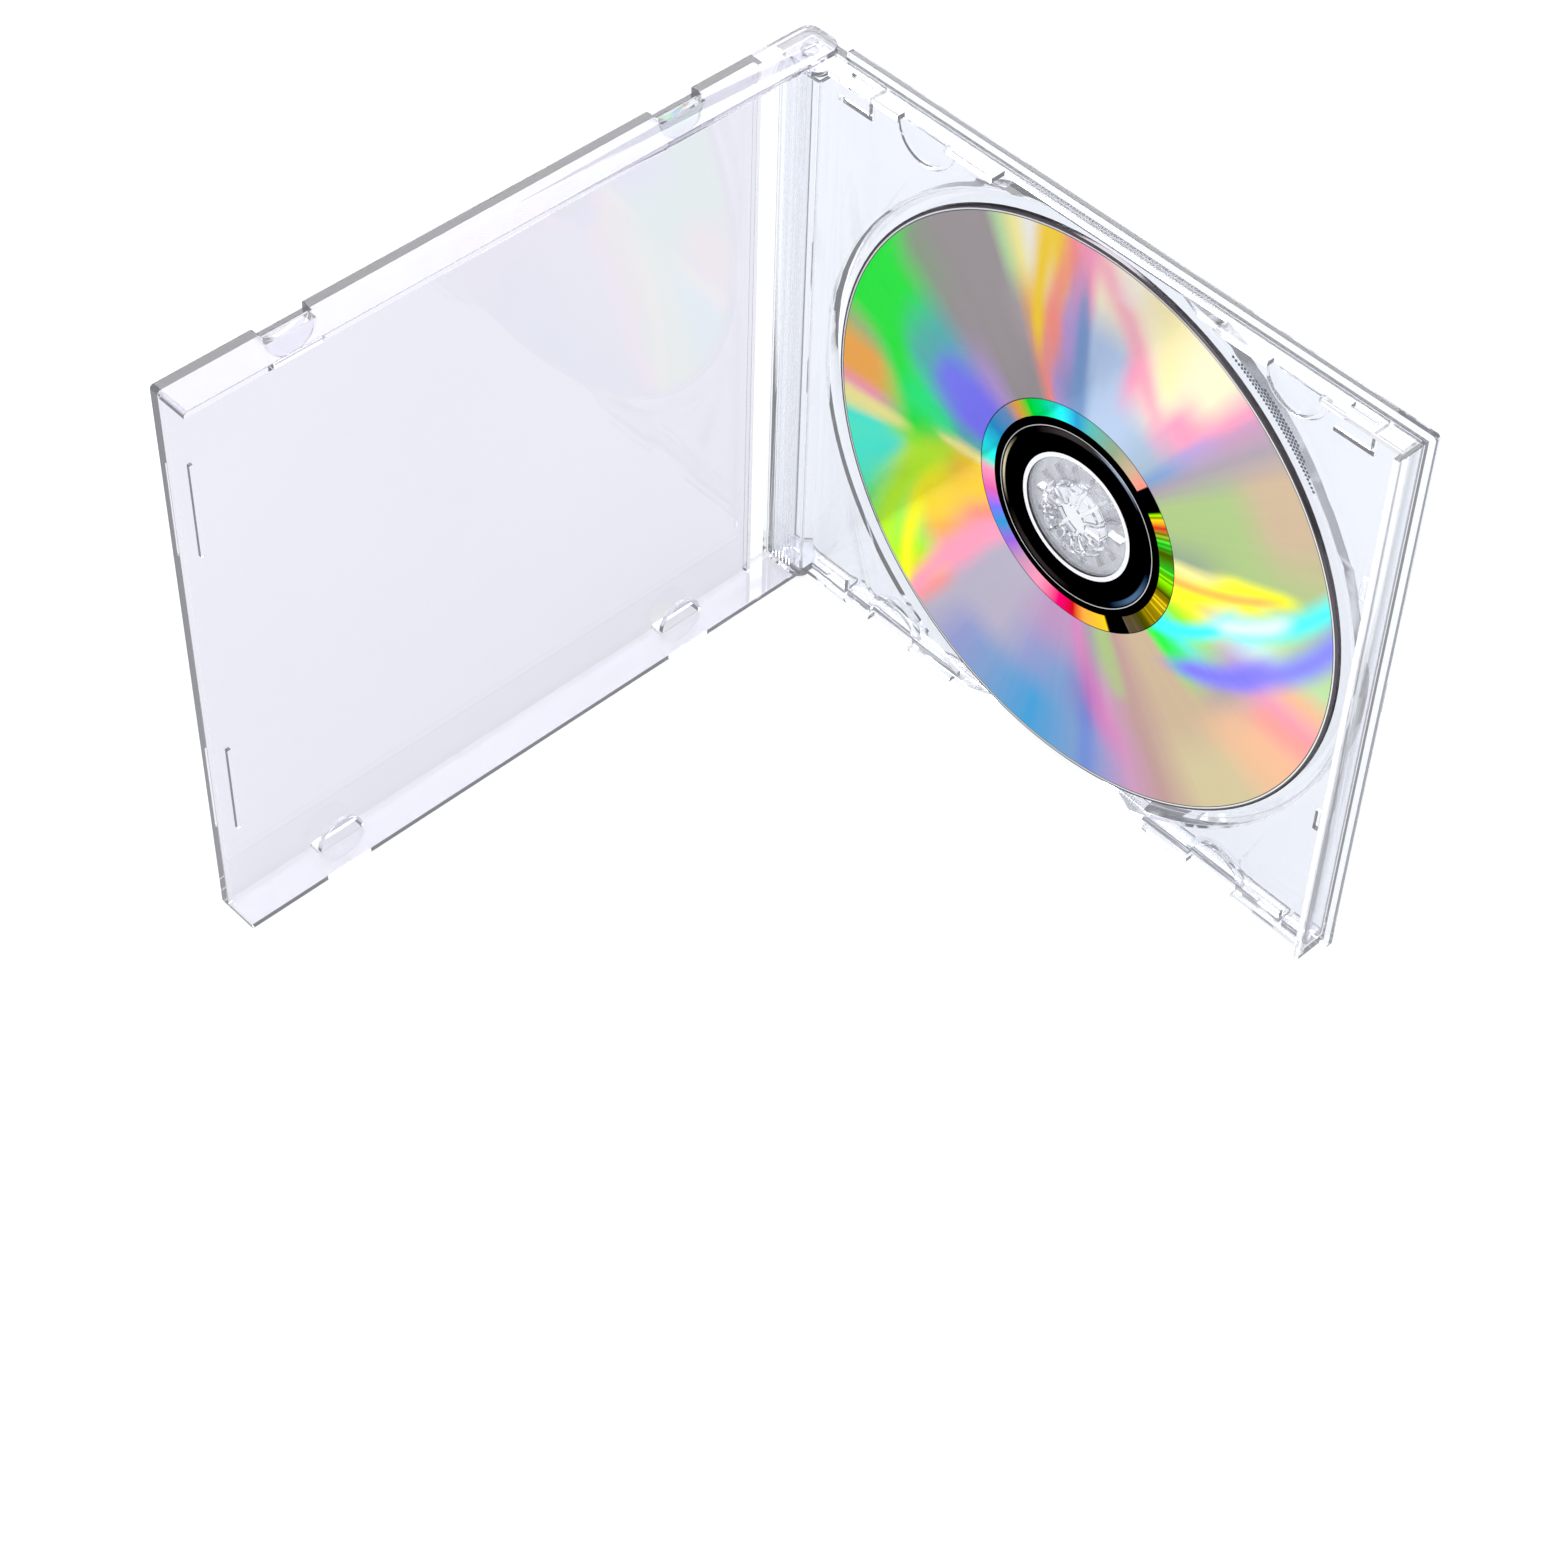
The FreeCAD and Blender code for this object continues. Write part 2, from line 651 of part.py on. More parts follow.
def front_slots(body):
    """Two short slots through the deck beside the opening edge."""
    sketch = new_sketch(body, "FrontSlotOutline", level=DECK_TOP)
    right = f"({TRAY_END} - front_slot_inset)"
    low = "(front_slot_spread - front_slot_length) / 2"
    high = "(front_slot_spread + front_slot_length) / 2"
    draw_rectangle(sketch, f"{right} - front_slot_width", right, low, high)
    cut = pocket(body, sketch, "tray_wall", "FrontSlot")
    mirror(body, [cut], "FrontSlots")


def hub(body):
    """Raised seat, and a ring of springy petals that grips the disc's bore."""
    seat = new_sketch(body, "SeatOutline", level=FLOOR_UNDERSIDE)
    draw_circle(seat, DISC_CENTRE, "0", "seat_radius")
    pad(body, seat, f"{SEAT_TOP} - {FLOOR_UNDERSIDE}", "Seat")
    bore = new_sketch(body, "HubBoreOutline", level=SEAT_TOP)
    draw_circle(bore, DISC_CENTRE, "0", f"{HUB_RADIUS} - hub_wall")
    pocket(body, bore, OVERCUT, "HubBore")
    ring = new_sketch(body, "PetalSection", "XZ_Plane")
    draw_axis(ring, DISC_CENTRE)
    centre = DISC_CENTRE
    draw_outline(ring, [
        (f"{centre} + {HUB_RADIUS} - hub_wall", FLOOR_UNDERSIDE),
        (f"{centre} + {HUB_RADIUS}", FLOOR_UNDERSIDE),
        (f"{centre} + {HUB_RADIUS}", f"{DISC_TOP} + hub_gap"),
        (f"{centre} + bore_radius + hub_bead", f"{DISC_TOP} + hub_rise / 3"),
        (f"{centre} + {HUB_RADIUS} - hub_wall / 2", HUB_TOP),
        (f"{centre} + hub_mouth_radius", HUB_TOP),
        (f"{centre} + hub_mouth_radius", f"{HUB_TOP} - hub_wall"),
        (f"{centre} + {HUB_RADIUS} - hub_wall", f"{HUB_TOP} - hub_wall"),
    ])
    turned(body, "Revolution", ring, "PetalRing")
    slot = new_sketch(body, "PetalSlotOutline", level=HUB_TOP)
    half = "petal_slot / 2"
    draw_rectangle(slot, DISC_CENTRE, f"{DISC_CENTRE} + petal_slot_reach", f"-{half}", half)
    cut = pocket(body, slot, OVERCUT, "PetalSlot")
    turn_slots(body, cut)


def turn_slots(body, cut):
    """Repeat the slot between petals all round the hub."""
    axis = new_sketch(body, "HubAxis", "XZ_Plane")
    draw_axis(axis, DISC_CENTRE)
    pattern = body.newObject("PartDesign::PolarPattern", "PetalSlots")
    pattern.Originals = [cut]
    pattern.Axis = (axis, ["Axis0"])
    pattern.Angle = 360
    pattern.setExpression("Occurrences", bound("petal_count"))
    body.Tip = pattern
    document.recompute()


def strip_grooves(body):
    """Fine grooves along the hinge strip."""
    sketch = new_sketch(body, "StripGrooveOutline", level=STRIP_TOP)
    right = "groove_first + groove_width"
    draw_rectangle(sketch, "groove_first", right, f"-{TRAY_EDGE}", TRAY_EDGE)
    cut = pocket(body, sketch, "groove_depth", "StripGroove")
    pattern = body.newObject("PartDesign::LinearPattern", "StripGrooves")
    pattern.Originals = [cut]
    pattern.Direction = (origin_plane(body, "X_Axis"), [""])
    pattern.setExpression("Length", bound("groove_pitch * (groove_count - 1)"))
    pattern.setExpression("Occurrences", bound("groove_count"))
    body.Tip = pattern
    document.recompute()


def make_media_tray():
    body = new_body("media_tray")
    tray_shell(body)
    tray_well(body)
    tab_recesses(body)
    snap_tabs(body)
    front_slots(body)
    hub(body)
    strip_grooves(body)
    return body


# Disc

def make_disc():
    """The disc turned from its section: bore, stacking ring and chamfered rim."""
    body = new_body("disc")
    sketch = new_sketch(body, "DiscSection", "XZ_Plane")
    draw_axis(sketch, DISC_CENTRE)
    ring_in = f"{DISC_CENTRE} + ring_radius - ring_width / 2"
    ring_out = f"{DISC_CENTRE} + ring_radius + ring_width / 2"
    rim = f"{DISC_CENTRE} + disc_radius"
    draw_outline(sketch, [
        (f"{DISC_CENTRE} + bore_radius", DISC_UNDERSIDE),
        (f"{rim} - disc_chamfer", DISC_UNDERSIDE),
        (rim, f"{DISC_UNDERSIDE} + disc_chamfer"),
        (rim, f"{DISC_TOP} - disc_chamfer"),
        (f"{rim} - disc_chamfer", DISC_TOP),
        (ring_out, DISC_TOP),
        (ring_out, f"{DISC_TOP} + ring_height"),
        (ring_in, f"{DISC_TOP} + ring_height"),
        (ring_in, DISC_TOP),
        (f"{DISC_CENTRE} + bore_radius", DISC_TOP),
    ])
    turned(body, "Revolution", sketch, "Disc")
    return body


# Standing the case up

def standing_placement():
    """Stands the closed case on a long side, hinge upright, with the open case centred on the origin."""
    reach = measured(f"{CASE_WIDTH} - hinge_inset")
    half_span = (reach - measured(HINGE_LEVEL)) / 2
    spine_x = -half_span - measured("hinge_inset")
    back_y = half_span + measured(HINGE_LEVEL)
    return Placement(Vector(spine_x, back_y, measured(HALF_HEIGHT)), Rotation(Vector(1, 0, 0), 90))


def opened_placement(closed):
    """The lid's place once it has swung about the hinge axis."""
    hinge = closed.multVec(Vector(measured("hinge_inset"), 0, measured(HINGE_LEVEL)))
    swing = Rotation(Vector(0, 0, 1), -measured("open_angle"))
    return Placement(hinge, swing).multiply(Placement(-hinge, Rotation())).multiply(closed)


def check(bodies):
    """Stop if any object failed or any piece isn't one valid solid."""
    for item in document.Objects:
        if "Invalid" in item.State or "Error" in item.State:
            raise RuntimeError(f"{item.Name} failed: {item.State}")
    for body in bodies:
        shape = body.Shape
        if shape.isNull() or not shape.isValid() or len(shape.Solids) != 1:
            raise RuntimeError(f"{body.Label} is not one valid solid")


sheet = fill_sheet()
lid = make_lid()
base = make_base()
media_tray = make_media_tray()
disc = make_disc()

standing = standing_placement()
for piece in (base, media_tray, disc):
    piece.Placement = standing
lid.Placement = opened_placement(standing)
document.recompute()

pieces = (lid, base, media_tray, disc)
check(pieces)
os.makedirs("parts", exist_ok=True)
for piece in pieces:
    piece.Shape.exportStep(f"parts/{piece.Label}.step")
    print(piece.Label, round(piece.Shape.Volume, 1), piece.Shape.BoundBox)
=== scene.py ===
import math

import bmesh
import bpy
from bpy.props import FloatProperty, FloatVectorProperty, IntProperty, PointerProperty
from mathutils import Matrix, Vector


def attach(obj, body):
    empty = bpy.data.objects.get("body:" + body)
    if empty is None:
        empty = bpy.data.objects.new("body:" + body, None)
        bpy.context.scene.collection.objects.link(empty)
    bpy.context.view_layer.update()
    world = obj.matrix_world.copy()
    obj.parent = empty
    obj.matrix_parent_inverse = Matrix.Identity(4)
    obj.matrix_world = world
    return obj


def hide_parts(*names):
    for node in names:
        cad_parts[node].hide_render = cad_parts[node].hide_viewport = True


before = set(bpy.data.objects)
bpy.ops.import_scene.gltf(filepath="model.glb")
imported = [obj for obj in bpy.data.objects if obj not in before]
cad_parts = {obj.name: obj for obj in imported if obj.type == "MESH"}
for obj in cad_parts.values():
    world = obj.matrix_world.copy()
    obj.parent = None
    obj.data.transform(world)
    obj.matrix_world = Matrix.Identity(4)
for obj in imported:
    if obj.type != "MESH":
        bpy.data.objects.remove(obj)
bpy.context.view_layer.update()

bl_info = {
    "name": "CD Jewel Case",
    "version": (1, 0, 0),
    "blender": (4, 5, 0),
    "location": "3D View > Sidebar > Jewel Case",
    "description": "Finishes an open clear disc case: polished plastic, rainbow disc, grips and studio",
    "category": "Object",
}

MILLIMETRES_PER_METRE = 1000.0

# Places on the solids, in metres: the disc's middle, a plane just under its label face, the case's back face,
# the deck's height above that, the radius of the well's mouth, how far the base's side faces lie from the
# middle, and the height of the grip ribs above the back face.
DISC_MIDDLE = Vector((0.004375, 0.0, 0.0625))
LABEL_PLANE = 0.06745
BACK_FACE = 0.071175
DECK_HEIGHT = 0.0054
WELL_MOUTH_RADIUS = 0.0634
BASE_SIDE_FACE = 0.06105
GRIP_HEIGHT = 0.00205

# Copies of the solids: points that are closer than this become one, faces that meet flatter than this become
# one, edges sharper than these stay sharp in the shading and are rounded, and the tray's edges are rounded by
# a share of the other mouldings'.
MERGE_DISTANCE = 1e-6
FLAT_ANGLE = math.radians(0.5)
SHARP_ANGLE = math.radians(30)
ROUND_ANGLE = math.radians(35)
ROUND_SEGMENTS = 2
TRAY_ROUND_SHARE = 0.5

# Grips: sides of a rib and the share of its radius that is sunk in the wall. The knurled crescent's distance
# from the well's mouth in radii of a pyramid's foot, how fast it widens from its tips, the share of its depth
# that is left there, and its lift from the deck.
RIB_SIDES = 8
RIB_SUNK_SHARE = 0.45
KNURL_OFFSET = 1.1
KNURL_TAPER = 3.0
KNURL_TIP = 0.1
KNURL_LIFT = 0.00002

# Polished plastic: the scales of its slow cast and its fine haze, how light and how deep the cast makes the
# tint, and the colour of the faint painted glow that every face gives, which stands in for light scattered in
# it.
CAST_SCALE = 14.0
HAZE_SCALE = 900.0
LIGHT_SHARE = 1.02
DEEP_SHARE = 0.97
PAINTED_GLOW_COLOUR = (0.93, 0.94, 1.0, 1.0)

# Studio: the floor's half width, its drop below the part, its roughness, the scale and strength of its cloud
# and the colour of its glow. Where the dark cards end and the full surround starts, as a share of the way up,
# the point that the lights are turned to, and their places and sizes.
FLOOR_HALF_WIDTH = 3.0
FLOOR_DROP = 0.0005
FLOOR_ROUGHNESS = 0.9
CLOUD_SCALE = 3.0
CLOUD_SHARE = 1.01
FLOOR_LIGHT = (0.965, 0.985, 1.0, 1.0)
CARDS_END = 0.12
SURROUND_START = 0.4
LIGHTS_AIM = Vector((0.0, 0.0, 0.05))
TOP_LIGHT = ((0.3, -0.6, 1.4), 1.2)
BACK_LIGHT = ((-0.85, 0.85, 1.15), 0.8)

# The camera's place in metres and its axes, which show the part as the picture does.
CAMERA_PLACE = Vector((0.29764, -0.29499, 0.50451))
CAMERA_RIGHT = Vector((0.68507831, 0.72806892, 0.02415283))
CAMERA_DOWN = Vector((0.55305758, -0.4982495, -0.66773853))
CAMERA_FORWARD = Vector((-0.47412553, 0.47081109, -0.74400396))
SENSOR_WIDTH = 36.0


# Colours of the disc's reflections

PALETTE = {
    "black": (0.0, 0.0, 0.0),
    "dark olive": (0.30, 0.29, 0.06),
    "grey brown": (0.45, 0.38, 0.36),
    "taupe": (0.64, 0.61, 0.60),
    "warm grey": (0.68, 0.64, 0.64),
    "grey lilac": (0.72, 0.69, 0.77),
    "grey mauve": (0.67, 0.62, 0.66),
    "mauve": (0.80, 0.60, 0.74),
    "lilac": (0.74, 0.62, 0.84),
    "near white": (0.97, 0.97, 0.95),
    "cream": (1.0, 0.95, 0.80),
    "peach": (0.96, 0.74, 0.58),
    "tan": (0.80, 0.70, 0.58),
    "salmon": (1.0, 0.58, 0.52),
    "pink": (1.0, 0.62, 0.74),
    "magenta": (0.92, 0.42, 0.72),
    "hot pink": (1.0, 0.12, 0.48),
    "red": (0.85, 0.12, 0.16),
    "orange": (1.0, 0.70, 0.30),
    "amber": (1.0, 0.84, 0.16),
    "yellow": (1.0, 1.0, 0.0),
    "pale yellow": (1.0, 0.96, 0.60),
    "lime": (0.60, 1.0, 0.0),
    "green": (0.08, 0.96, 0.22),
    "spring green": (0.08, 0.98, 0.52),
    "pale green": (0.74, 0.88, 0.64),
    "olive green": (0.67, 0.77, 0.50),
    "grey green": (0.58, 0.66, 0.54),
    "teal": (0.36, 0.74, 0.72),
    "aqua": (0.28, 0.98, 0.86),
    "cyan": (0.20, 1.0, 1.0),
    "pale cyan": (0.80, 0.96, 0.96),
    "pale blue": (0.72, 0.80, 0.91),
    "mist blue": (0.64, 0.72, 0.80),
    "periwinkle": (0.57, 0.60, 0.80),
    "orchid": (0.74, 0.58, 0.75),
    "dusk violet": (0.54, 0.46, 0.74),
    "dusty rose": (0.75, 0.60, 0.58),
    "straw": (0.83, 0.77, 0.60),
    "chartreuse": (0.76, 1.0, 0.12),
    "mint": (0.46, 1.0, 0.74),
    "steel blue": (0.48, 0.62, 0.80),
    "sky blue": (0.22, 0.62, 0.84),
    "blue": (0.22, 0.45, 0.85),
    "blue violet": (0.50, 0.48, 1.0),
    "violet": (0.62, 0.42, 0.88),
}

# Painted reflection colours round the data side near its middle, half way and at its edge, by direction in
# degrees from the opening edge upwards.
INNER_COLOURS = [
    (0, "amber"), (12, "pale yellow"), (17, "grey green"), (30, "olive green"), (40, "olive green"),
    (47, "grey mauve"), (52, "steel blue"), (57, "mist blue"), (75, "pale blue"), (88, "pale blue"),
    (94, "steel blue"), (101, "periwinkle"), (107, "lilac"), (111, "salmon"), (117, "taupe"), (132, "taupe"),
    (142, "lilac"), (155, "blue violet"), (170, "blue violet"), (180, "teal"), (185, "pale yellow"),
    (190, "amber"), (203, "orange"), (214, "salmon"), (222, "pink"), (231, "grey lilac"), (246, "grey lilac"),
    (262, "orchid"), (277, "orchid"), (284, "grey mauve"), (291, "olive green"), (299, "dusty rose"),
    (310, "tan"), (322, "tan"), (328, "green"), (338, "aqua"), (347, "lime"), (356, "yellow"),
]
MIDDLE_COLOURS = [
    (0, "pale cyan"), (10, "yellow"), (15, "pale yellow"), (18, "olive green"), (30, "olive green"),
    (40, "olive green"), (48, "grey mauve"), (54, "lilac"), (57, "pink"), (62, "pink"), (68, "cream"),
    (77, "pink"), (82, "pale blue"), (91, "pale blue"), (93, "steel blue"), (99, "lilac"), (103, "salmon"),
    (110, "orange"), (116, "warm grey"), (122, "taupe"), (140, "taupe"), (150, "teal"), (163, "teal"),
    (176, "spring green"), (187, "green"), (196, "chartreuse"), (207, "yellow"), (218, "orange"),
    (227, "pink"), (233, "grey lilac"), (248, "grey lilac"), (260, "periwinkle"), (271, "steel blue"),
    (281, "dusk violet"), (288, "mauve"), (298, "dusty rose"), (310, "tan"), (326, "tan"),
    (338, "warm grey"), (350, "lilac"),
]
OUTER_COLOURS = [
    (0, "pale green"), (17, "olive green"), (31, "tan"), (42, "tan"), (48, "grey mauve"), (53, "mauve"),
    (55, "pink"), (60, "cream"), (74, "cream"), (84, "cream"), (90, "cream"), (93, "pink"), (97, "salmon"),
    (101, "amber"), (107, "near white"), (111, "pale yellow"), (115, "pale green"), (118, "taupe"),
    (132, "taupe"), (141, "grey green"), (151, "green"), (165, "green"), (171, "olive green"),
    (176, "orange"), (182, "orange"), (186, "pink"), (189, "pale yellow"), (193, "aqua"), (203, "mint"),
    (215, "spring green"), (222, "lime"), (228, "amber"), (231, "salmon"), (235, "grey lilac"),
    (243, "periwinkle"), (252, "steel blue"), (264, "sky blue"), (276, "steel blue"), (283, "periwinkle"),
    (291, "mauve"), (299, "dusty rose"), (310, "straw"), (322, "straw"), (336, "peach"), (347, "pink"),
    (354, "peach"),
]
# Painted reflection colours round the mirror band, by direction in degrees as above.
MIRROR_COLOURS = [
    (0, "lime"), (8, "green"), (16, "dark olive"), (22, "green"), (30, "red"), (34, "amber"), (37, "lime"),
    (37.5, "black"), (50, "black"), (50.5, "salmon"), (60, "tan"), (72, "grey green"), (88, "teal"),
    (96, "sky blue"), (106, "cyan"), (118, "spring green"), (127, "green"), (136, "orange"),
    (146, "steel blue"), (160, "sky blue"), (175, "cyan"), (182, "aqua"), (188, "pink"), (200, "magenta"),
    (210, "blue violet"), (218, "sky blue"), (228, "violet"), (238, "mauve"), (252, "pink"),
    (265, "hot pink"), (275, "red"), (282, "orange"), (297, "amber"), (297.5, "black"), (311, "black"),
    (311.5, "grey brown"), (325, "dark olive"), (345, "amber"), (352, "dark olive"),
]

# Fans of reflected light across the data side: colour, then radius in millimetres, direction and half width
# in degrees at its inner end, the same three at its outer end, and strength.
FANS = [
    ("green", 25, 327, 6, 32, 332, 8, 0.8),
    ("cyan", 24, 334, 9, 37, 362, 8, 1.0),
    ("cyan", 33, 357, 8, 60, 379, 5, 0.9),
    ("near white", 33, 357, 5, 50, 372, 4, 0.8),
    ("yellow", 23, 357, 10, 38, 374, 6, 1.0),
    ("yellow", 34, 374, 6, 52, 377, 3, 1.0),
    ("orange", 24, 364, 4, 48, 376, 2, 0.8),
    ("blue violet", 30, 326, 10, 46, 354, 10, 1.0),
    ("blue violet", 40, 346, 9, 60, 372, 8, 0.9),
    ("pink", 32, 63, 8, 60, 93, 9, 0.7),
    ("cream", 40, 67, 6, 60, 75, 18, 0.9),
    ("pale yellow", 42, 68, 4, 57, 74, 9, 0.5),
    ("near white", 52, 84, 4, 60, 84, 6, 0.4),
    ("steel blue", 24, 96, 5, 52, 94, 2, 0.9),
    ("lilac", 30, 101, 5, 56, 95, 3, 0.6),
    ("salmon", 28, 109, 4, 56, 98, 4, 0.8),
    ("amber", 33, 112, 3, 60, 102, 5, 1.0),
    ("green", 34, 187, 8, 60, 150, 17, 1.0),
    ("pale yellow", 42, 189, 3, 60, 189, 5, 0.8),
    ("spring green", 30, 181, 7, 44, 176, 10, 0.8),
    ("blue violet", 23, 161, 17, 38, 160, 14, 0.9),
    ("aqua", 44, 195, 4, 60, 203, 10, 0.9),
    ("chartreuse", 31, 190, 8, 60, 220, 12, 1.0),
    ("yellow", 33, 199, 9, 60, 229, 4, 1.0),
    ("amber", 25, 201, 13, 44, 214, 8, 0.8),
    ("pink", 25, 221, 8, 60, 231, 3, 0.9),
    ("pale yellow", 24, 186, 3, 34, 186, 2, 0.8),
    ("blue", 42, 280, 5, 60, 279, 4, 0.4),
    ("magenta", 24, 277, 7, 52, 289, 8, 0.45),
    ("olive green", 25, 294, 6, 38, 294, 5, 0.7),
    ("peach", 42, 330, 16, 60, 338, 14, 0.7),
    ("salmon", 46, 342, 8, 60, 346, 7, 0.5),
]

# Soft gleams on the dark ring, beside the stacking ring, written as the fans are.
GLEAMS = [
    ("steel blue", 16.9, 330, 30, 18.0, 330, 30, 0.45),
    ("pale blue", 17.3, 62, 26, 18.1, 62, 26, 0.6),
    ("cream", 17.4, 178, 30, 18.0, 178, 30, 0.7),
    ("taupe", 16.6, 100, 40, 18.0, 100, 40, 0.15),
    ("taupe", 16.6, 240, 50, 18.0, 240, 50, 0.12),
]

# Radii in millimetres between which one ring of colours passes into the next.
INNER_TO_MIDDLE = (27.0, 41.0)
MIDDLE_TO_OUTER = (40.0, 52.0)

# Plain colours of the disc, as linear light.
# Painted light and shade round the clear middle: a grey tint that darkens the clear plastic as painted shade,
# a dark painted line at its edge, and a white ring just outside it as a painted highlight of the clear step's
# edge.
CLEAR_MIDDLE_SHADE = (0.52, 0.52, 0.55)
CLEAR_EDGE_PAINTED_SHADE = (0.25, 0.26, 0.28)
CLEAR_RING_PAINTED_HIGHLIGHT = (0.93, 0.93, 0.95)
# A painted highlight along the stacking ring's raised line.
STACK_PAINTED_HIGHLIGHT = (0.9, 0.9, 0.92)
DATA_LINE = (0.02, 0.02, 0.03)
RIM_LINE = (0.05, 0.06, 0.05)
# The rim is painted: a pale band of painted light and a dark edge of painted shade, for the look of clear
# plastic.
RIM_PAINTED_LIGHT = (0.80, 0.80, 0.79)
RIM_PAINTED_SHADE = (0.10, 0.09, 0.10)
LABEL_SIDE = (0.62, 0.63, 0.65)
WHITE = (1.0, 1.0, 1.0)
NO_LIGHT = (0.0, 0.0, 0.0)

# Where the disc's thin lines lie beside the radii in its settings, in millimetres.
CLEAR_EDGE_HALF_WIDTH = 0.1
STACK_LINE_HALF_WIDTH = 0.09
DATA_LINE_START = -0.12
DATA_LINE_END = 0.05
RIM_BAND_START = 0.16
RIM_SIDE_START = 0.45

# How a fan fades at its ends: the share of its length, how far the fade reaches past its ends, and how near
# the data side's own ends a fan runs on without a fade, in millimetres.
FADE_SHARE = 0.25
FADE_OVERRUN = 0.6
FADE_MARGIN = 2.0

# The disc's surface: the scale of its grain, the roughness of its mirror and what the grain, the data side and
# the label side add to it, its plastic's refraction, how much of what lies behind the clear middle shows, the
# tint of a glancing gleam, the strength of a faint painted glow, and the data side's coat.
GRAIN_SCALE = 1500.0
MIRROR_ROUGHNESS = 0.06
GRAIN_ROUGHNESS = 0.05
DATA_ROUGHNESS = 0.08
LABEL_ROUGHNESS = 0.25
DISC_REFRACTION = 1.58
SEEN_THROUGH = 0.4
GLANCE_TINT = (0.2, 0.2, 0.2, 1.0)
DISC_PAINTED_GLOW = 0.05
DATA_COAT = 0.25
COAT_ROUGHNESS = 0.03

# Scales round the disc and strengths of the radial streaks of painted sheen, of the flicker in the painted
# highlight on the stacking ring's line and of the mirror band's bars. The bars lie on both sides of the
# opening edge, up to one share of a turn and from another.
STREAK_SCALE = 160.0
STREAK_DRIFT = 0.02
STREAK_STRENGTH = 0.05
FLICKER_SCALE = 9.0
FLICKER_LOW = 0.35
FLICKER_RISE = 0.6
BAR_SCALE = 260.0
BAR_STRENGTH = 0.55
BARS_END = 0.103
BARS_START = 0.866


def linear(colour):
    """A display colour as the linear light that a shader takes."""
    return tuple(c / 12.92 if c <= 0.04045 else ((c + 0.055) / 1.055) ** 2.4 for c in colour)


def named_colour(name):
    """A palette colour as linear light."""
    return linear(PALETTE[name])


def blended(stops, place):
    """The colour between the stops either side of a place."""
    for (start, first), (end, second) in zip(stops, stops[1:]):
        if start <= place <= end:
            share = (place - start) / (end - start)
            return tuple(a + (b - a) * share for a, b in zip(first, second))
    raise RuntimeError(f"no stops lie round {place}")


# Node trees

class Wire:
    """A node's socket whose arithmetic adds Math nodes to its tree."""

    def __init__(self, tree, socket):
        self.tree = tree
        self.socket = socket

    def maths(self, operation, *parts):
        """Add a Math node and answer its result."""
        return self.tree.add("ShaderNodeMath", {"operation": operation}, dict(enumerate(parts)))

    def __add__(self, other):
        return self.maths("ADD", self, other)

    __radd__ = __add__

    def __sub__(self, other):
        return self.maths("SUBTRACT", self, other)

    def __rsub__(self, other):
        return self.maths("SUBTRACT", other, self)

    def __mul__(self, other):
        return self.maths("MULTIPLY", self, other)

    __rmul__ = __mul__

    def __truediv__(self, other):
        return self.maths("DIVIDE", self, other)

    def __gt__(self, other):
        return self.maths("GREATER_THAN", self, other)

    def __lt__(self, other):
        return self.maths("LESS_THAN", self, other)

    def __mod__(self, other):
        return self.maths("FLOORED_MODULO", self, other)

    def root(self):
        return self.maths("SQRT", self)

    def size(self):
        return self.maths("ABSOLUTE", self)

    def whole(self):
        return self.maths("FLOOR", self)

    def fraction(self):
        return self.maths("FRACT", self)


class NodeTree:
    """A node tree that is written as expressions on wires."""

    def __init__(self, tree):
        self.tree = tree
        self.tree.nodes.clear()

    def node(self, kind, settings=None, sockets=None):
        """Add a node: its settings first, then its sockets' values and links."""
        node = self.tree.nodes.new(kind)
        for name, value in (settings or {}).items():
            if name == "stops":
                self.fill_ramp(node.color_ramp, value)
            else:
                setattr(node, name, value)
        for key, value in (sockets or {}).items():
            socket = node.inputs[key] if isinstance(key, int) else named(node.inputs, key)
            for part in value if isinstance(value, list) else [value]:
                if isinstance(part, Wire):
                    self.tree.links.new(part.socket, socket)
                else:
                    socket.default_value = part
        return node

    def add(self, kind, settings=None, sockets=None, out=None):
        """Add a node and answer one of its outputs, by default the first."""
        node = self.node(kind, settings, sockets)
        return Wire(self, node.outputs[0] if out is None else named(node.outputs, out))

    def split(self, vector):
        """The three parts of a vector."""
        node = self.node("ShaderNodeSeparateXYZ", None, {"Vector": vector})
        return [Wire(self, output) for output in node.outputs]

    def join(self, x, y, z):
        """A vector from its three parts."""
        return self.add("ShaderNodeCombineXYZ", None, {"X": x, "Y": y, "Z": z})

    @staticmethod
    def fill_ramp(ramp, stops):
        """Give a colour ramp its stops."""
        while len(ramp.elements) > 1:
            ramp.elements.remove(ramp.elements[-1])
        for index, (place, colour) in enumerate(stops):
            element = ramp.elements[0] if index == 0 else ramp.elements.new(place)
            element.position = place
            element.color = (*colour, 1.0)


def named(sockets, name):
    """The socket with an identifier or name."""
    return next(s for s in sockets if name in (s.identifier, s.name))


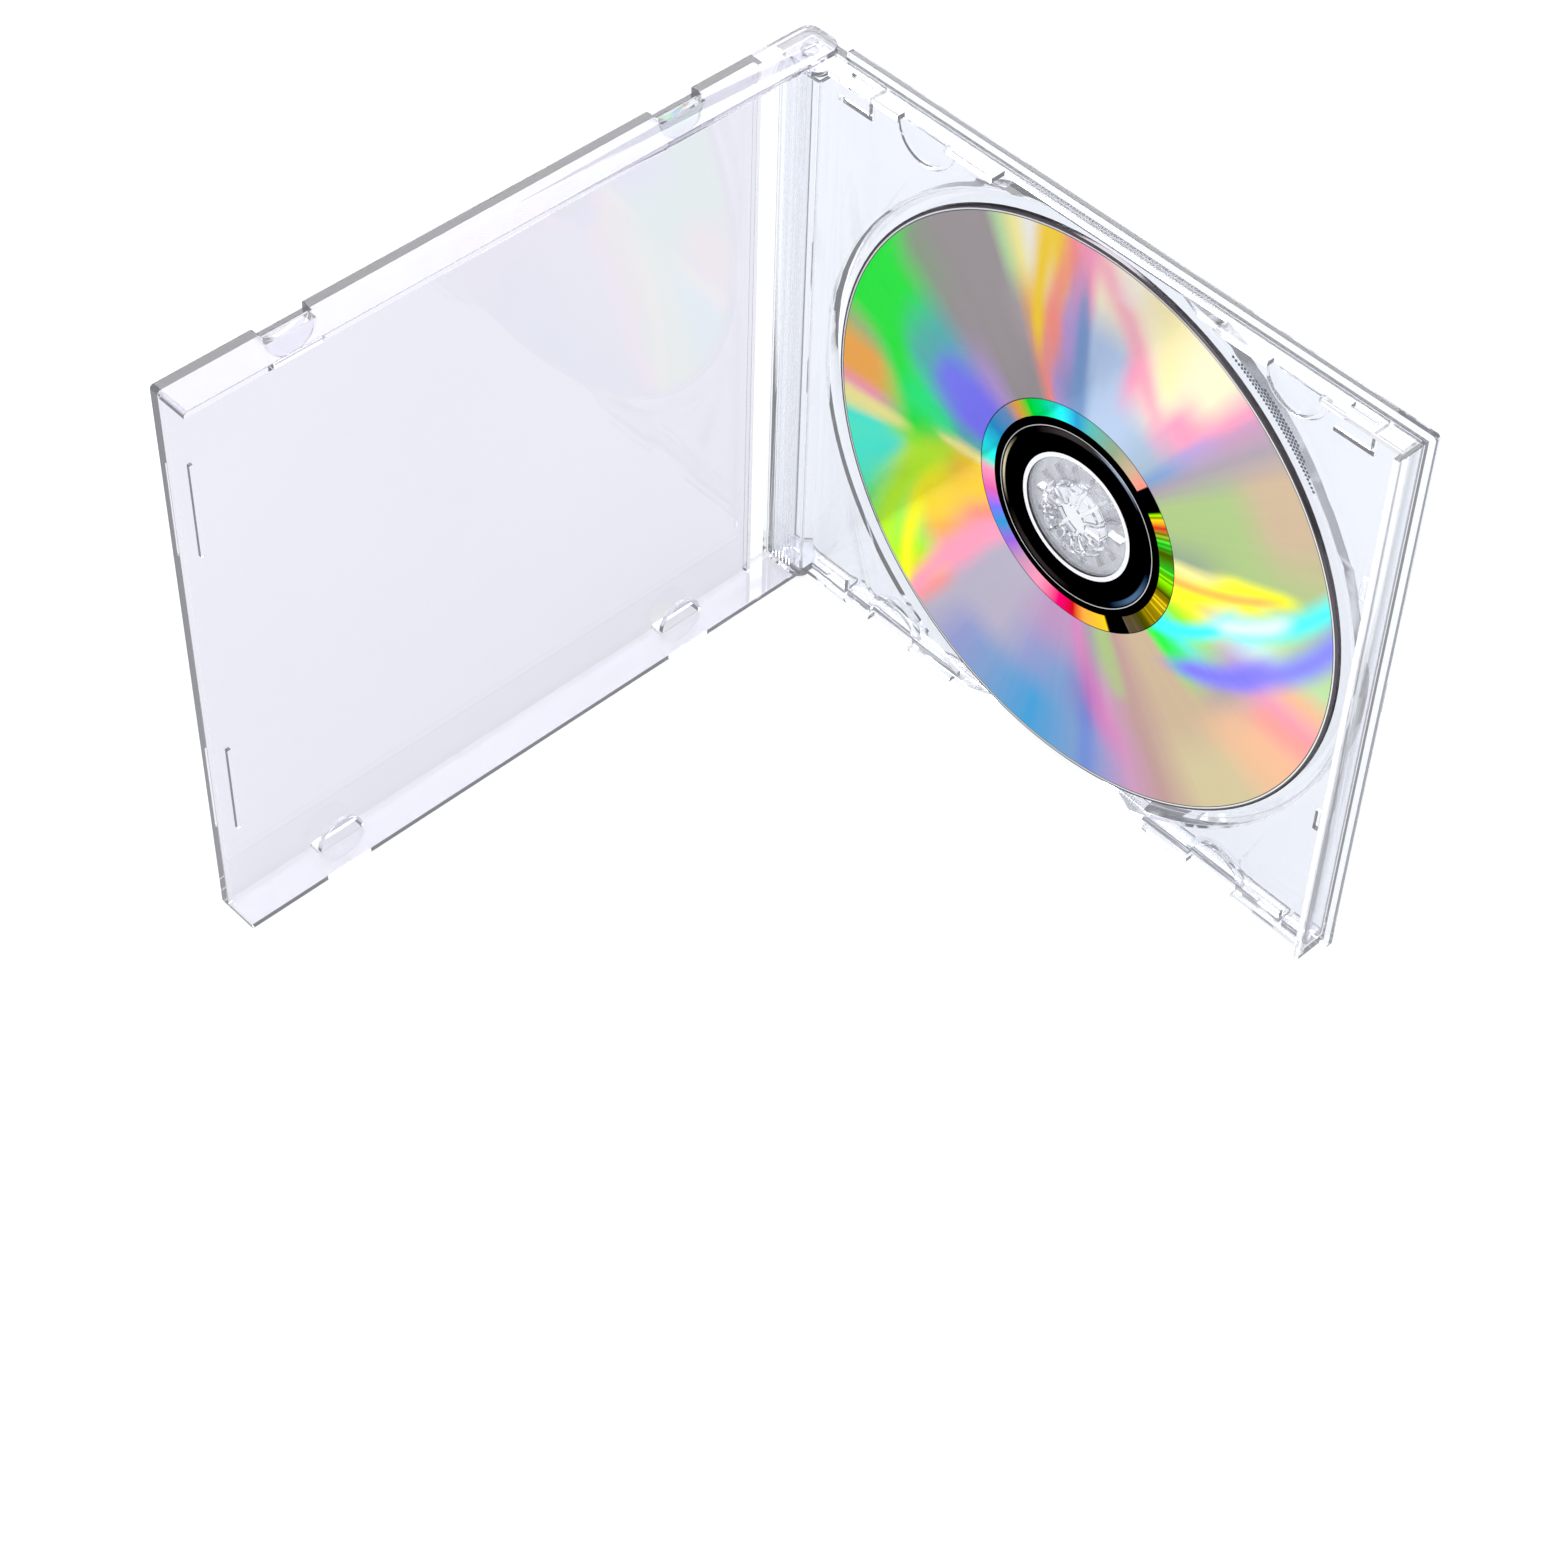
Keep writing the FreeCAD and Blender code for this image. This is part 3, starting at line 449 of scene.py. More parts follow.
class Finish(NodeTree):
    """A procedural material, built node by node."""

    def __init__(self, name):
        self.material = bpy.data.materials.new(name)
        self.material.use_nodes = True
        super().__init__(self.material.node_tree)

    def place(self, middle=(0, 0, 0)):
        """Object coordinates measured from a point of the piece."""
        here = self.add("ShaderNodeTexCoord", out="Object")
        return self.add("ShaderNodeMapping", None, {"Vector": here, "Location": tuple(-c for c in middle)})

    def noise(self, where, scale, detail=2.0, roughness=0.5):
        """Smooth noise from 0 to 1."""
        return self.add("ShaderNodeTexNoise", None, {
            "Vector": where, "Scale": scale, "Detail": detail, "Roughness": roughness}, out="Fac")

    def mix(self, factor, first, second):
        """The first colour where the factor is 0, and the second where it is 1."""
        return self.add("ShaderNodeMix", {"data_type": "RGBA"}, {
            "Factor_Float": factor, "A_Color": rgba(first), "B_Color": rgba(second)}, out="Result_Color")

    def close(self, shader):
        """Put the shader on the surface and answer the material."""
        self.node("ShaderNodeOutputMaterial", None, {"Surface": shader})
        return self.material


class Recipe(NodeTree):
    """A Geometry Nodes tree with named inputs that makes a shape which repeats."""

    KINDS = {int: "NodeSocketInt", float: "NodeSocketFloat"}

    def __init__(self, name, values):
        super().__init__(bpy.data.node_groups.new(name, "GeometryNodeTree"))
        self.values = {}
        for label, value in values.items():
            kind = self.KINDS.get(type(value), "NodeSocketMaterial")
            item = self.tree.interface.new_socket(label, in_out="INPUT", socket_type=kind)
            self.values[item.identifier] = value
        self.tree.interface.new_socket("Geometry", in_out="OUTPUT", socket_type="NodeSocketGeometry")
        self.given = self.node("NodeGroupInput")

    def __getitem__(self, label):
        return Wire(self, named(self.given.outputs, label))

    def make(self, name, shape):
        """Realize the shape, give it its material and answer it as a plain piece."""
        solid = self.add("GeometryNodeRealizeInstances", None, {"Geometry": shape})
        solid = self.add("GeometryNodeSetMaterial", None, {"Geometry": solid, "Material": self["Material"]})
        self.node("NodeGroupOutput", None, {"Geometry": solid})
        piece = bpy.data.objects.new(name, bpy.data.meshes.new(name))
        bpy.context.scene.collection.objects.link(piece)
        modifier = piece.modifiers.new("recipe", "NODES")
        modifier.node_group = self.tree
        for identifier, value in self.values.items():
            modifier[identifier] = value
        settle(piece)
        if not piece.data.polygons:
            raise RuntimeError(f"{name} came out empty")
        return piece


def rgba(colour):
    """A colour for a socket, or the wire that brings it."""
    return colour if isinstance(colour, Wire) else (*colour[:3], 1.0)


def polished_plastic(name, tint, plastic, gloss=0.5):
    """Clear injection-moulded polystyrene: a cast of lilac, fine handling haze and a faint painted glow at
    each face.
    """
    f = Finish(name)
    where = f.place()
    cast = f.noise(where, CAST_SCALE, detail=1.0)
    haze = f.noise(where, HAZE_SCALE, detail=3.0, roughness=0.6)
    light = tuple(min(1.0, c * LIGHT_SHARE) for c in tint)
    deep = tuple(c * DEEP_SHARE for c in tint)
    return f.close(f.add("ShaderNodeBsdfPrincipled", None, {
        "Base Color": f.mix(cast, light, deep),
        "Roughness": plastic.haze * 0.5 + haze * plastic.haze,
        "Transmission Weight": 1.0,
        "IOR": plastic.refraction,
        "Specular IOR Level": gloss,
        # Painted glow: every face gives a faint light of its own, standing in for light scattered in the
        # plastic.
        "Emission Color": PAINTED_GLOW_COLOUR,
        "Emission Strength": plastic.glow,
    }))


class DiscFinish(Finish):
    """The disc's looks by radius in millimetres and by direction as a share of a turn."""

    def __init__(self, name, settings):
        super().__init__(name)
        self.settings = settings
        self.where = self.place(DISC_MIDDLE)
        across, self.away, up = self.split(self.where)
        self.radius = (across * across + up * up).root() * MILLIMETRES_PER_METRE
        self.turn = (up.maths("ARCTAN2", up, across) / (2 * math.pi) + 1.0).fraction()

    def beyond(self, size):
        """1 outside a radius and 0 inside it."""
        return self.radius > size

    def line(self, size, half_width):
        """1 on a thin line round the disc."""
        return (self.radius - size).size() < half_width

    def between(self, value, low, high):
        """A smooth rise from 0 at the low value to 1 at the high one."""
        return self.add("ShaderNodeMapRange", {"interpolation_type": "SMOOTHSTEP"}, {
            "Value": value, "From Min": low, "From Max": high})

    def ring(self, colours):
        """Colours round the disc, from one ramp for each half turn."""
        stops = [(direction, named_colour(name)) for direction, name in colours]
        middle = blended(stops, 180)
        halves = [
            [(d / 180, c) for d, c in stops if d < 180] + [(1.0, middle)],
            [(0.0, middle)] + [(d / 180 - 1, c) for d, c in stops if d > 180] + [(1.0, stops[0][1])]]
        ramps = [self.add("ShaderNodeValToRGB", {"stops": half}, {"Fac": self.turn * 2.0 - side})
                 for side, half in enumerate(halves)]
        return self.mix(self.turn > 0.5, *ramps)

    def fan(self, inner_radius, inner, inner_spread, outer_radius, outer, outer_spread):
        """How much of a fan of light falls on a point, with its distance taken the short way round."""
        length = outer_radius - inner_radius
        reach = (self.radius - inner_radius) / length
        centre = reach * ((outer - inner) / 360) + inner / 360
        off = ((self.turn - centre + 2.5).fraction() - 0.5).size()
        spread = reach * ((outer_spread - inner_spread) / 360) + inner_spread / 360
        mask = self.between(off / spread, 1.0, 0.0)
        fade = length * FADE_SHARE
        start, end = self.settings.data_start, self.settings.data_end
        if inner_radius > start + FADE_MARGIN or outer_radius < start:
            mask = mask * self.between(self.radius, inner_radius - fade * FADE_OVERRUN, inner_radius + fade)
        if outer_radius < end - FADE_MARGIN:
            mask = mask * self.between(self.radius, outer_radius + fade * FADE_OVERRUN, outer_radius - fade)
        return mask

    def data_side(self):
        """The painted rainbow: rings of painted reflection colours, fans of painted light across them, and
        fine radial streaks of painted sheen.
        """
        inner, middle, outer = (self.ring(c) for c in (INNER_COLOURS, MIDDLE_COLOURS, OUTER_COLOURS))
        colour = self.mix(self.between(self.radius, *INNER_TO_MIDDLE), inner, middle)
        colour = self.mix(self.between(self.radius, *MIDDLE_TO_OUTER), colour, outer)
        for name, *shape, strength in FANS:
            colour = self.mix(self.fan(*shape) * strength, colour, named_colour(name))
        # Fine radial streaks of painted sheen, which lighten the colours towards white.
        streak = self.noise(self.join(self.turn * STREAK_SCALE, self.radius * STREAK_DRIFT, 0.0), 1.0)
        return self.mix(STREAK_STRENGTH * streak, colour, WHITE)

    def mirror_band(self):
        """The mirror band's painted reflection colours, with fine dark bars on the side of the opening edge.
        """
        bars = self.add("ShaderNodeTexWhiteNoise", {"noise_dimensions": "1D"}, {
            "W": (self.turn * BAR_SCALE).whole()}, out="Value") > 0.5
        barred = (self.turn < BARS_END) + (self.turn > BARS_START)
        return self.mix(barred * bars * BAR_STRENGTH, self.ring(MIRROR_COLOURS), named_colour("dark olive"))

    def front(self, clear):
        """The colours of the side that faces out, from the clear middle to the rim."""
        s = self.settings
        dark = self.beyond(s.black_start)
        # The ring just outside the clear middle is painted white as a highlight.
        colour = self.mix(dark, CLEAR_RING_PAINTED_HIGHLIGHT, named_colour("black"))
        for name, *shape, strength in GLEAMS:
            colour = self.mix(self.fan(*shape) * strength * dark, colour, named_colour(name))
        # The stacking ring's painted highlight, flickering round the disc.
        flicker = self.noise(self.join(self.turn * FLICKER_SCALE, 0.0, 0.0), 1.0)
        painted_shine = self.line(s.stack_ring, STACK_LINE_HALF_WIDTH) * (FLICKER_LOW + FLICKER_RISE * flicker)
        colour = self.mix(painted_shine, colour, STACK_PAINTED_HIGHLIGHT)
        for start, look in (
                (s.mirror_start, self.mirror_band()),
                (s.data_start + DATA_LINE_START, DATA_LINE),
                (s.data_start + DATA_LINE_END, self.data_side()),
                # The rim: a dark line, then a pale band of painted light and a dark edge of painted shade.
                (s.data_end, RIM_LINE),
                (s.data_end + RIM_BAND_START, RIM_PAINTED_LIGHT),
                (s.data_end + RIM_SIDE_START, RIM_PAINTED_SHADE)):
            colour = self.mix(self.beyond(start), colour, look)
        # Painted shade: the clear middle is tinted grey and edged with a dark line.
        colour = self.mix(clear, colour, CLEAR_MIDDLE_SHADE)
        edge = self.line(s.clear_end - CLEAR_EDGE_HALF_WIDTH, CLEAR_EDGE_HALF_WIDTH)
        return self.mix(edge, colour, CLEAR_EDGE_PAINTED_SHADE)

    def build(self):
        """Put the whole disc together: metal under clear plastic, and a plain satin label side."""
        clear = self.radius < self.settings.clear_end
        label = (self.away > LABEL_PLANE) * (1.0 - clear)
        colour = self.mix(label, self.front(clear), LABEL_SIDE)
        rainbow = self.beyond(self.settings.data_start)
        # Where the disc gives a painted glow: the mirror band and the data side, not the label side.
        bright = self.beyond(self.settings.mirror_start) * (1.0 - label)
        grain = self.noise(self.where, GRAIN_SCALE)
        roughness = MIRROR_ROUGHNESS + GRAIN_ROUGHNESS * grain + DATA_ROUGHNESS * rainbow
        return self.close(self.add("ShaderNodeBsdfPrincipled", None, {
            "Base Color": colour,
            "Metallic": 1.0 - clear,
            "Roughness": roughness + LABEL_ROUGHNESS * label,
            "Transmission Weight": 1.0,
            "IOR": DISC_REFRACTION,
            "Alpha": 1.0 - SEEN_THROUGH * clear,
            "Specular Tint": GLANCE_TINT,
            # Painted glow: the disc's own colours given off faintly as light.
            "Emission Color": self.mix(bright, NO_LIGHT, colour),
            "Emission Strength": DISC_PAINTED_GLOW,
            "Coat Weight": DATA_COAT * rainbow,
            "Coat Roughness": COAT_ROUGHNESS,
        }))


# Settings

class PlasticSettings(bpy.types.PropertyGroup):
    lid_tint: FloatVectorProperty(
        name="Lid tint", description="Colour of the light that passes the lid", subtype="COLOR",
        default=(0.70, 0.69, 0.745), min=0.0, max=1.0)
    base_tint: FloatVectorProperty(
        name="Base tint", description="Colour of the light that passes the base", subtype="COLOR",
        default=(0.845, 0.855, 0.88), min=0.0, max=1.0)
    tray_tint: FloatVectorProperty(
        name="Tray tint", description="Colour of the light that passes the media tray", subtype="COLOR",
        default=(0.845, 0.855, 0.88), min=0.0, max=1.0)
    refraction: FloatProperty(
        name="Refraction", description="Index of refraction of the clear plastic", default=1.3,
        min=1.0, max=2.0)
    haze: FloatProperty(
        name="Haze", description="Roughness of the polished faces", default=0.015, min=0.0, max=0.5,
        subtype="FACTOR")
    # Strength of the painted glow on every face of the plastic: emission that stands in for scattered light.
    glow: FloatProperty(
        name="Glow", description="Light that the plastic scatters at each face", default=0.035,
        min=0.0, max=0.5, subtype="FACTOR")
    # The knurled patch's dark tint is painted shade: the shade among the pyramids is put into the plastic's
    # colour.
    knurl_shade_tint: FloatVectorProperty(
        name="Knurl tint", description="Colour of the light that passes the knurled patch", subtype="COLOR",
        default=(0.10, 0.11, 0.14), min=0.0, max=1.0)
    edge_round: FloatProperty(
        name="Edge round", description="Rounding of the mouldings' edges", default=0.00015, min=0.0,
        max=0.0005, precision=5, subtype="DISTANCE", unit="LENGTH")


class DiscSettings(bpy.types.PropertyGroup):
    clear_end: FloatProperty(
        name="Clear middle", description="Radius of the clear middle, in millimetres", default=12.0)
    black_start: FloatProperty(
        name="Dark ring start", description="Radius at which the dark ring starts, in millimetres",
        default=12.9)
    # The stacking ring's bright line is a painted highlight.
    stack_ring: FloatProperty(
        name="Stacking ring", description="Radius of the stacking ring's bright line, in millimetres",
        default=18.3)
    mirror_start: FloatProperty(
        name="Mirror band start", description="Radius at which the mirror band starts, in millimetres",
        default=20.0)
    data_start: FloatProperty(
        name="Data side start", description="Radius at which the data side starts, in millimetres",
        default=23.4)
    data_end: FloatProperty(
        name="Data side end", description="Radius at which the data side ends, in millimetres", default=59.0)


class GripSettings(bpy.types.PropertyGroup):
    start: FloatProperty(
        name="Grip start", description="Where the ribbed strip starts along the base", default=-0.0168,
        subtype="DISTANCE", unit="LENGTH")
    pitch: FloatProperty(
        name="Rib pitch", description="Distance from rib to rib", default=0.00072, precision=5,
        subtype="DISTANCE", unit="LENGTH")
    count: IntProperty(name="Ribs", description="Number of ribs on each long side", default=60, min=1)
    rib_radius: FloatProperty(
        name="Rib radius", description="Radius of each rib", default=0.00024, precision=5,
        subtype="DISTANCE", unit="LENGTH")
    rib_length: FloatProperty(
        name="Rib length", description="Length of each rib across the wall", default=0.0015, precision=5,
        subtype="DISTANCE", unit="LENGTH")
    knurl_start: FloatProperty(
        name="Knurl start", description="Direction at which the knurled patch beside the well starts",
        default=math.radians(40), subtype="ANGLE", unit="ROTATION")
    knurl_sweep: FloatProperty(
        name="Knurl sweep", description="Angle that the knurled patch covers", default=math.radians(23),
        subtype="ANGLE", unit="ROTATION")
    knurl_columns: IntProperty(
        name="Knurl columns", description="Pyramids round the patch", default=34, min=2)
    knurl_rows: IntProperty(name="Knurl rows", description="Pyramids across the patch", default=4, min=2)
    knurl_depth: FloatProperty(
        name="Knurl depth", description="Distance from the first row to the last", default=0.00165,
        precision=5, subtype="DISTANCE", unit="LENGTH")
    knurl_size: FloatProperty(
        name="Knurl size", description="Radius of each pyramid's foot", default=0.00038, precision=5,
        subtype="DISTANCE", unit="LENGTH")
    knurl_height: FloatProperty(
        name="Knurl height", description="Height of each pyramid", default=0.00014, precision=5,
        subtype="DISTANCE", unit="LENGTH")


class StudioSettings(bpy.types.PropertyGroup):
    lens: FloatProperty(name="Lens", description="Camera focal length in millimetres", default=82.975)
    sky: FloatProperty(name="Surround", description="Brightness of the soft surround", default=0.78, min=0.0)
    horizon: FloatProperty(
        name="Horizon", description="Brightness of the cards low round the case, as a share of the surround",
        default=0.28, min=0.0, max=1.0, subtype="FACTOR")
    floor_colour: FloatVectorProperty(
        name="Floor colour", description="Colour of the pale floor", subtype="COLOR",
        default=(0.36, 0.36, 0.365), min=0.0, max=1.0)
    floor_glow: FloatProperty(
        name="Floor glow", description="Light that the frosted floor gives from below", default=0.8, min=0.0)
    top_power: FloatProperty(
        name="Top light", description="Power of the large top light", default=7.0, subtype="POWER",
        unit="POWER")
    back_power: FloatProperty(
        name="Back light", description="Power of the large back light", default=14.0, subtype="POWER",
        unit="POWER")


class JewelCaseSettings(bpy.types.PropertyGroup):
    plastic: PointerProperty(type=PlasticSettings)
    disc: PointerProperty(type=DiscSettings)
    grip: PointerProperty(type=GripSettings)
    studio: PointerProperty(type=StudioSettings)


# Pieces

def moulding(node, name, finish, edge_round):
    """A moulded piece in a CAD node's shape, with its edges rounded as a polished mould leaves them."""
    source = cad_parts[node]
    mesh = source.data.copy()
    mesh.name = name
    shape = bmesh.new()
    shape.from_mesh(mesh)
    bmesh.ops.remove_doubles(shape, verts=shape.verts, dist=MERGE_DISTANCE)
    bmesh.ops.dissolve_limit(shape, angle_limit=FLAT_ANGLE, verts=shape.verts, edges=shape.edges)
    if any(len(e.link_faces) != 2 for e in shape.edges):
        raise RuntimeError(f"the copy of {node} isn't closed")
    shape.to_mesh(mesh)
    shape.free()
    mesh.shade_smooth()
    mesh.set_sharp_from_angle(angle=SHARP_ANGLE)
    mesh.materials.clear()
    mesh.materials.append(finish)
    piece = bpy.data.objects.new(name, mesh)
    bpy.context.scene.collection.objects.link(piece)
    bevel = piece.modifiers.new("edges", "BEVEL")
    bevel.width = edge_round
    bevel.segments = ROUND_SEGMENTS
    bevel.limit_method = "ANGLE"
    bevel.angle_limit = ROUND_ANGLE
    bevel.use_clamp_overlap = True
    bevel.harden_normals = True
    settle(piece)
    return piece


def settle(piece):
    """Turn a piece and its modifiers into a plain mesh."""
    bpy.context.view_layer.update()
    evaluated = piece.evaluated_get(bpy.context.evaluated_depsgraph_get())
    mesh = bpy.data.meshes.new_from_object(evaluated)
    piece.modifiers.clear()
    piece.data = mesh


class JEWEL_OT_lid(bpy.types.Operator):
    """Finish the lid in polished clear plastic"""
    bl_idname = "jewel.lid"
    bl_label = "Lid"

    def execute(self, context):
        plastic = context.scene.jewel_case.plastic
        finish = polished_plastic("clear_lid", plastic.lid_tint, plastic, gloss=0.0)
        piece = moulding("lid", "lid_moulding", finish, plastic.edge_round)
        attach(piece, "cover")
        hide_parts("lid")
        return {"FINISHED"}


class JEWEL_OT_base(bpy.types.Operator):
    """Finish the base in polished clear plastic"""
    bl_idname = "jewel.base"
    bl_label = "Base"

    def execute(self, context):
        plastic = context.scene.jewel_case.plastic
        finish = polished_plastic("clear_base", plastic.base_tint, plastic)
        piece = moulding("base", "base_moulding", finish, plastic.edge_round)
        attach(piece, "case_base")
        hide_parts("base")
        return {"FINISHED"}


class JEWEL_OT_tray(bpy.types.Operator):
    """Finish the media tray with its toothed hub in polished clear plastic"""
    bl_idname = "jewel.tray"
    bl_label = "Media tray"

    def execute(self, context):
        plastic = context.scene.jewel_case.plastic
        finish = polished_plastic("clear_tray", plastic.tray_tint, plastic)
        piece = moulding("media_tray", "tray_moulding", finish, plastic.edge_round * TRAY_ROUND_SHARE)
        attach(piece, "case_base")
        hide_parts("media_tray")
        return {"FINISHED"}


class JEWEL_OT_disc(bpy.types.Operator):
    """Give the disc its painted rainbow on the data side, dark ring, clear middle, and a rim painted as a pale
    band with a dark edge
    """
    bl_idname = "jewel.disc"
    bl_label = "Disc"

    def execute(self, context):
        finish = DiscFinish("disc", context.scene.jewel_case.disc).build()
        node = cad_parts["disc"]
        node.data.materials.clear()
        node.data.materials.append(finish)
        return {"FINISHED"}


class JEWEL_OT_grips(bpy.types.Operator):
    """Add the ribbed grip strips on the base's long sides and the knurled patch beside the well"""
    bl_idname = "jewel.grips"
    bl_label = "Grips"

    def execute(self, context):
        grip = context.scene.jewel_case.grip
        ribs = self.ribbed_strips(grip, bpy.data.materials["clear_base"])
        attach(ribs, "case_base")
        plastic = context.scene.jewel_case.plastic
        # The knurl's plastic is tinted dark as painted shade.
        knurl = self.knurled_patch(grip, polished_plastic("dark_knurl", plastic.knurl_shade_tint, plastic))
        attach(knurl, "case_base")
        return {"FINISHED"}

    @staticmethod
    def ribbed_strips(grip, finish):
        """Upright ribs in a row along the low middle of each side wall."""
        r = Recipe("ribbed_strips", {
            "Count": grip.count, "Pitch": grip.pitch, "Start": grip.start, "Rib radius": grip.rib_radius,
            "Rib length": grip.rib_length, "Level": BACK_FACE - GRIP_HEIGHT, "Middle": DISC_MIDDLE.z,
            "Face": BASE_SIDE_FACE, "Material": finish})
        rib = r.add("GeometryNodeMeshCylinder", {"fill_type": "NGON"}, {
            "Vertices": RIB_SIDES, "Radius": r["Rib radius"], "Depth": r["Rib length"]}, out="Mesh")
        sunk = r["Face"] - r["Rib radius"] * RIB_SUNK_SHARE
        rows = [r.add("GeometryNodeMeshLine", {"mode": "OFFSET"}, {
            "Count": r["Count"], "Start Location": r.join(r["Start"], r["Level"], height),
            "Offset": r.join(r["Pitch"], 0.0, 0.0)}) for height in (r["Middle"] + sunk, r["Middle"] - sunk)]
        points = r.add("GeometryNodeJoinGeometry", None, {"Geometry": rows})
        return r.make("grip_ribs", r.add("GeometryNodeInstanceOnPoints", None, {
            "Points": points, "Instance": rib, "Rotation": (math.pi / 2, 0.0, 0.0)}))

    @staticmethod
    def knurled_patch(grip, finish):
        """Staggered rows of small pyramids in a crescent on the tray's deck, beside the well's mouth."""
        r = Recipe("knurled_patch", {
            "Columns": grip.knurl_columns, "Rows": grip.knurl_rows, "Start": grip.knurl_start,
            "Sweep": grip.knurl_sweep, "Inner radius": WELL_MOUTH_RADIUS + grip.knurl_size * KNURL_OFFSET,
            "Depth": grip.knurl_depth, "Size": grip.knurl_size, "Height": grip.knurl_height,
            "Middle X": DISC_MIDDLE.x, "Middle Z": DISC_MIDDLE.z,
            "Level": BACK_FACE - DECK_HEIGHT + KNURL_LIFT, "Material": finish})
        net = r.add("GeometryNodeMeshGrid", None, {
            "Size X": 1.0, "Size Y": 1.0, "Vertices X": r["Columns"], "Vertices Y": r["Rows"]}, out="Mesh")
        x, y, z = r.split(r.add("GeometryNodeInputPosition"))
        along, out = x + 0.5, y + 0.5
        taper = along.maths("MINIMUM", along, 1.0 - along) * KNURL_TAPER + KNURL_TIP
        net = r.add("GeometryNodeDeleteGeometry", {"domain": "POINT"}, {
            "Geometry": net, "Selection": out > taper})
        row = (out * (r["Rows"] - 1.0) + 0.5).whole()
        stagger = (row % 2.0) * 0.5 / (r["Columns"] - 1.0)
        angle = r["Start"] + r["Sweep"] * (along + stagger)
        radius = r["Inner radius"] + r["Depth"] * out
        spots = r.add("GeometryNodeSetPosition", None, {
            "Geometry": net, "Position": r.join(
                r["Middle X"] + angle.maths("COSINE", angle) * radius, r["Level"],
                r["Middle Z"] + angle.maths("SINE", angle) * radius)})
        pyramid = r.add("GeometryNodeMeshCone", None, {
            "Vertices": 4, "Radius Top": 0.0, "Radius Bottom": r["Size"], "Depth": r["Height"]}, out="Mesh")
        turn = z.maths("ARCTAN2", z - r["Middle Z"], x - r["Middle X"])
        return r.make("deck_knurl", r.add("GeometryNodeInstanceOnPoints", None, {
            "Points": spots, "Instance": pyramid, "Rotation": r.join(math.pi / 2, 0.0 - turn, 0.0)}))


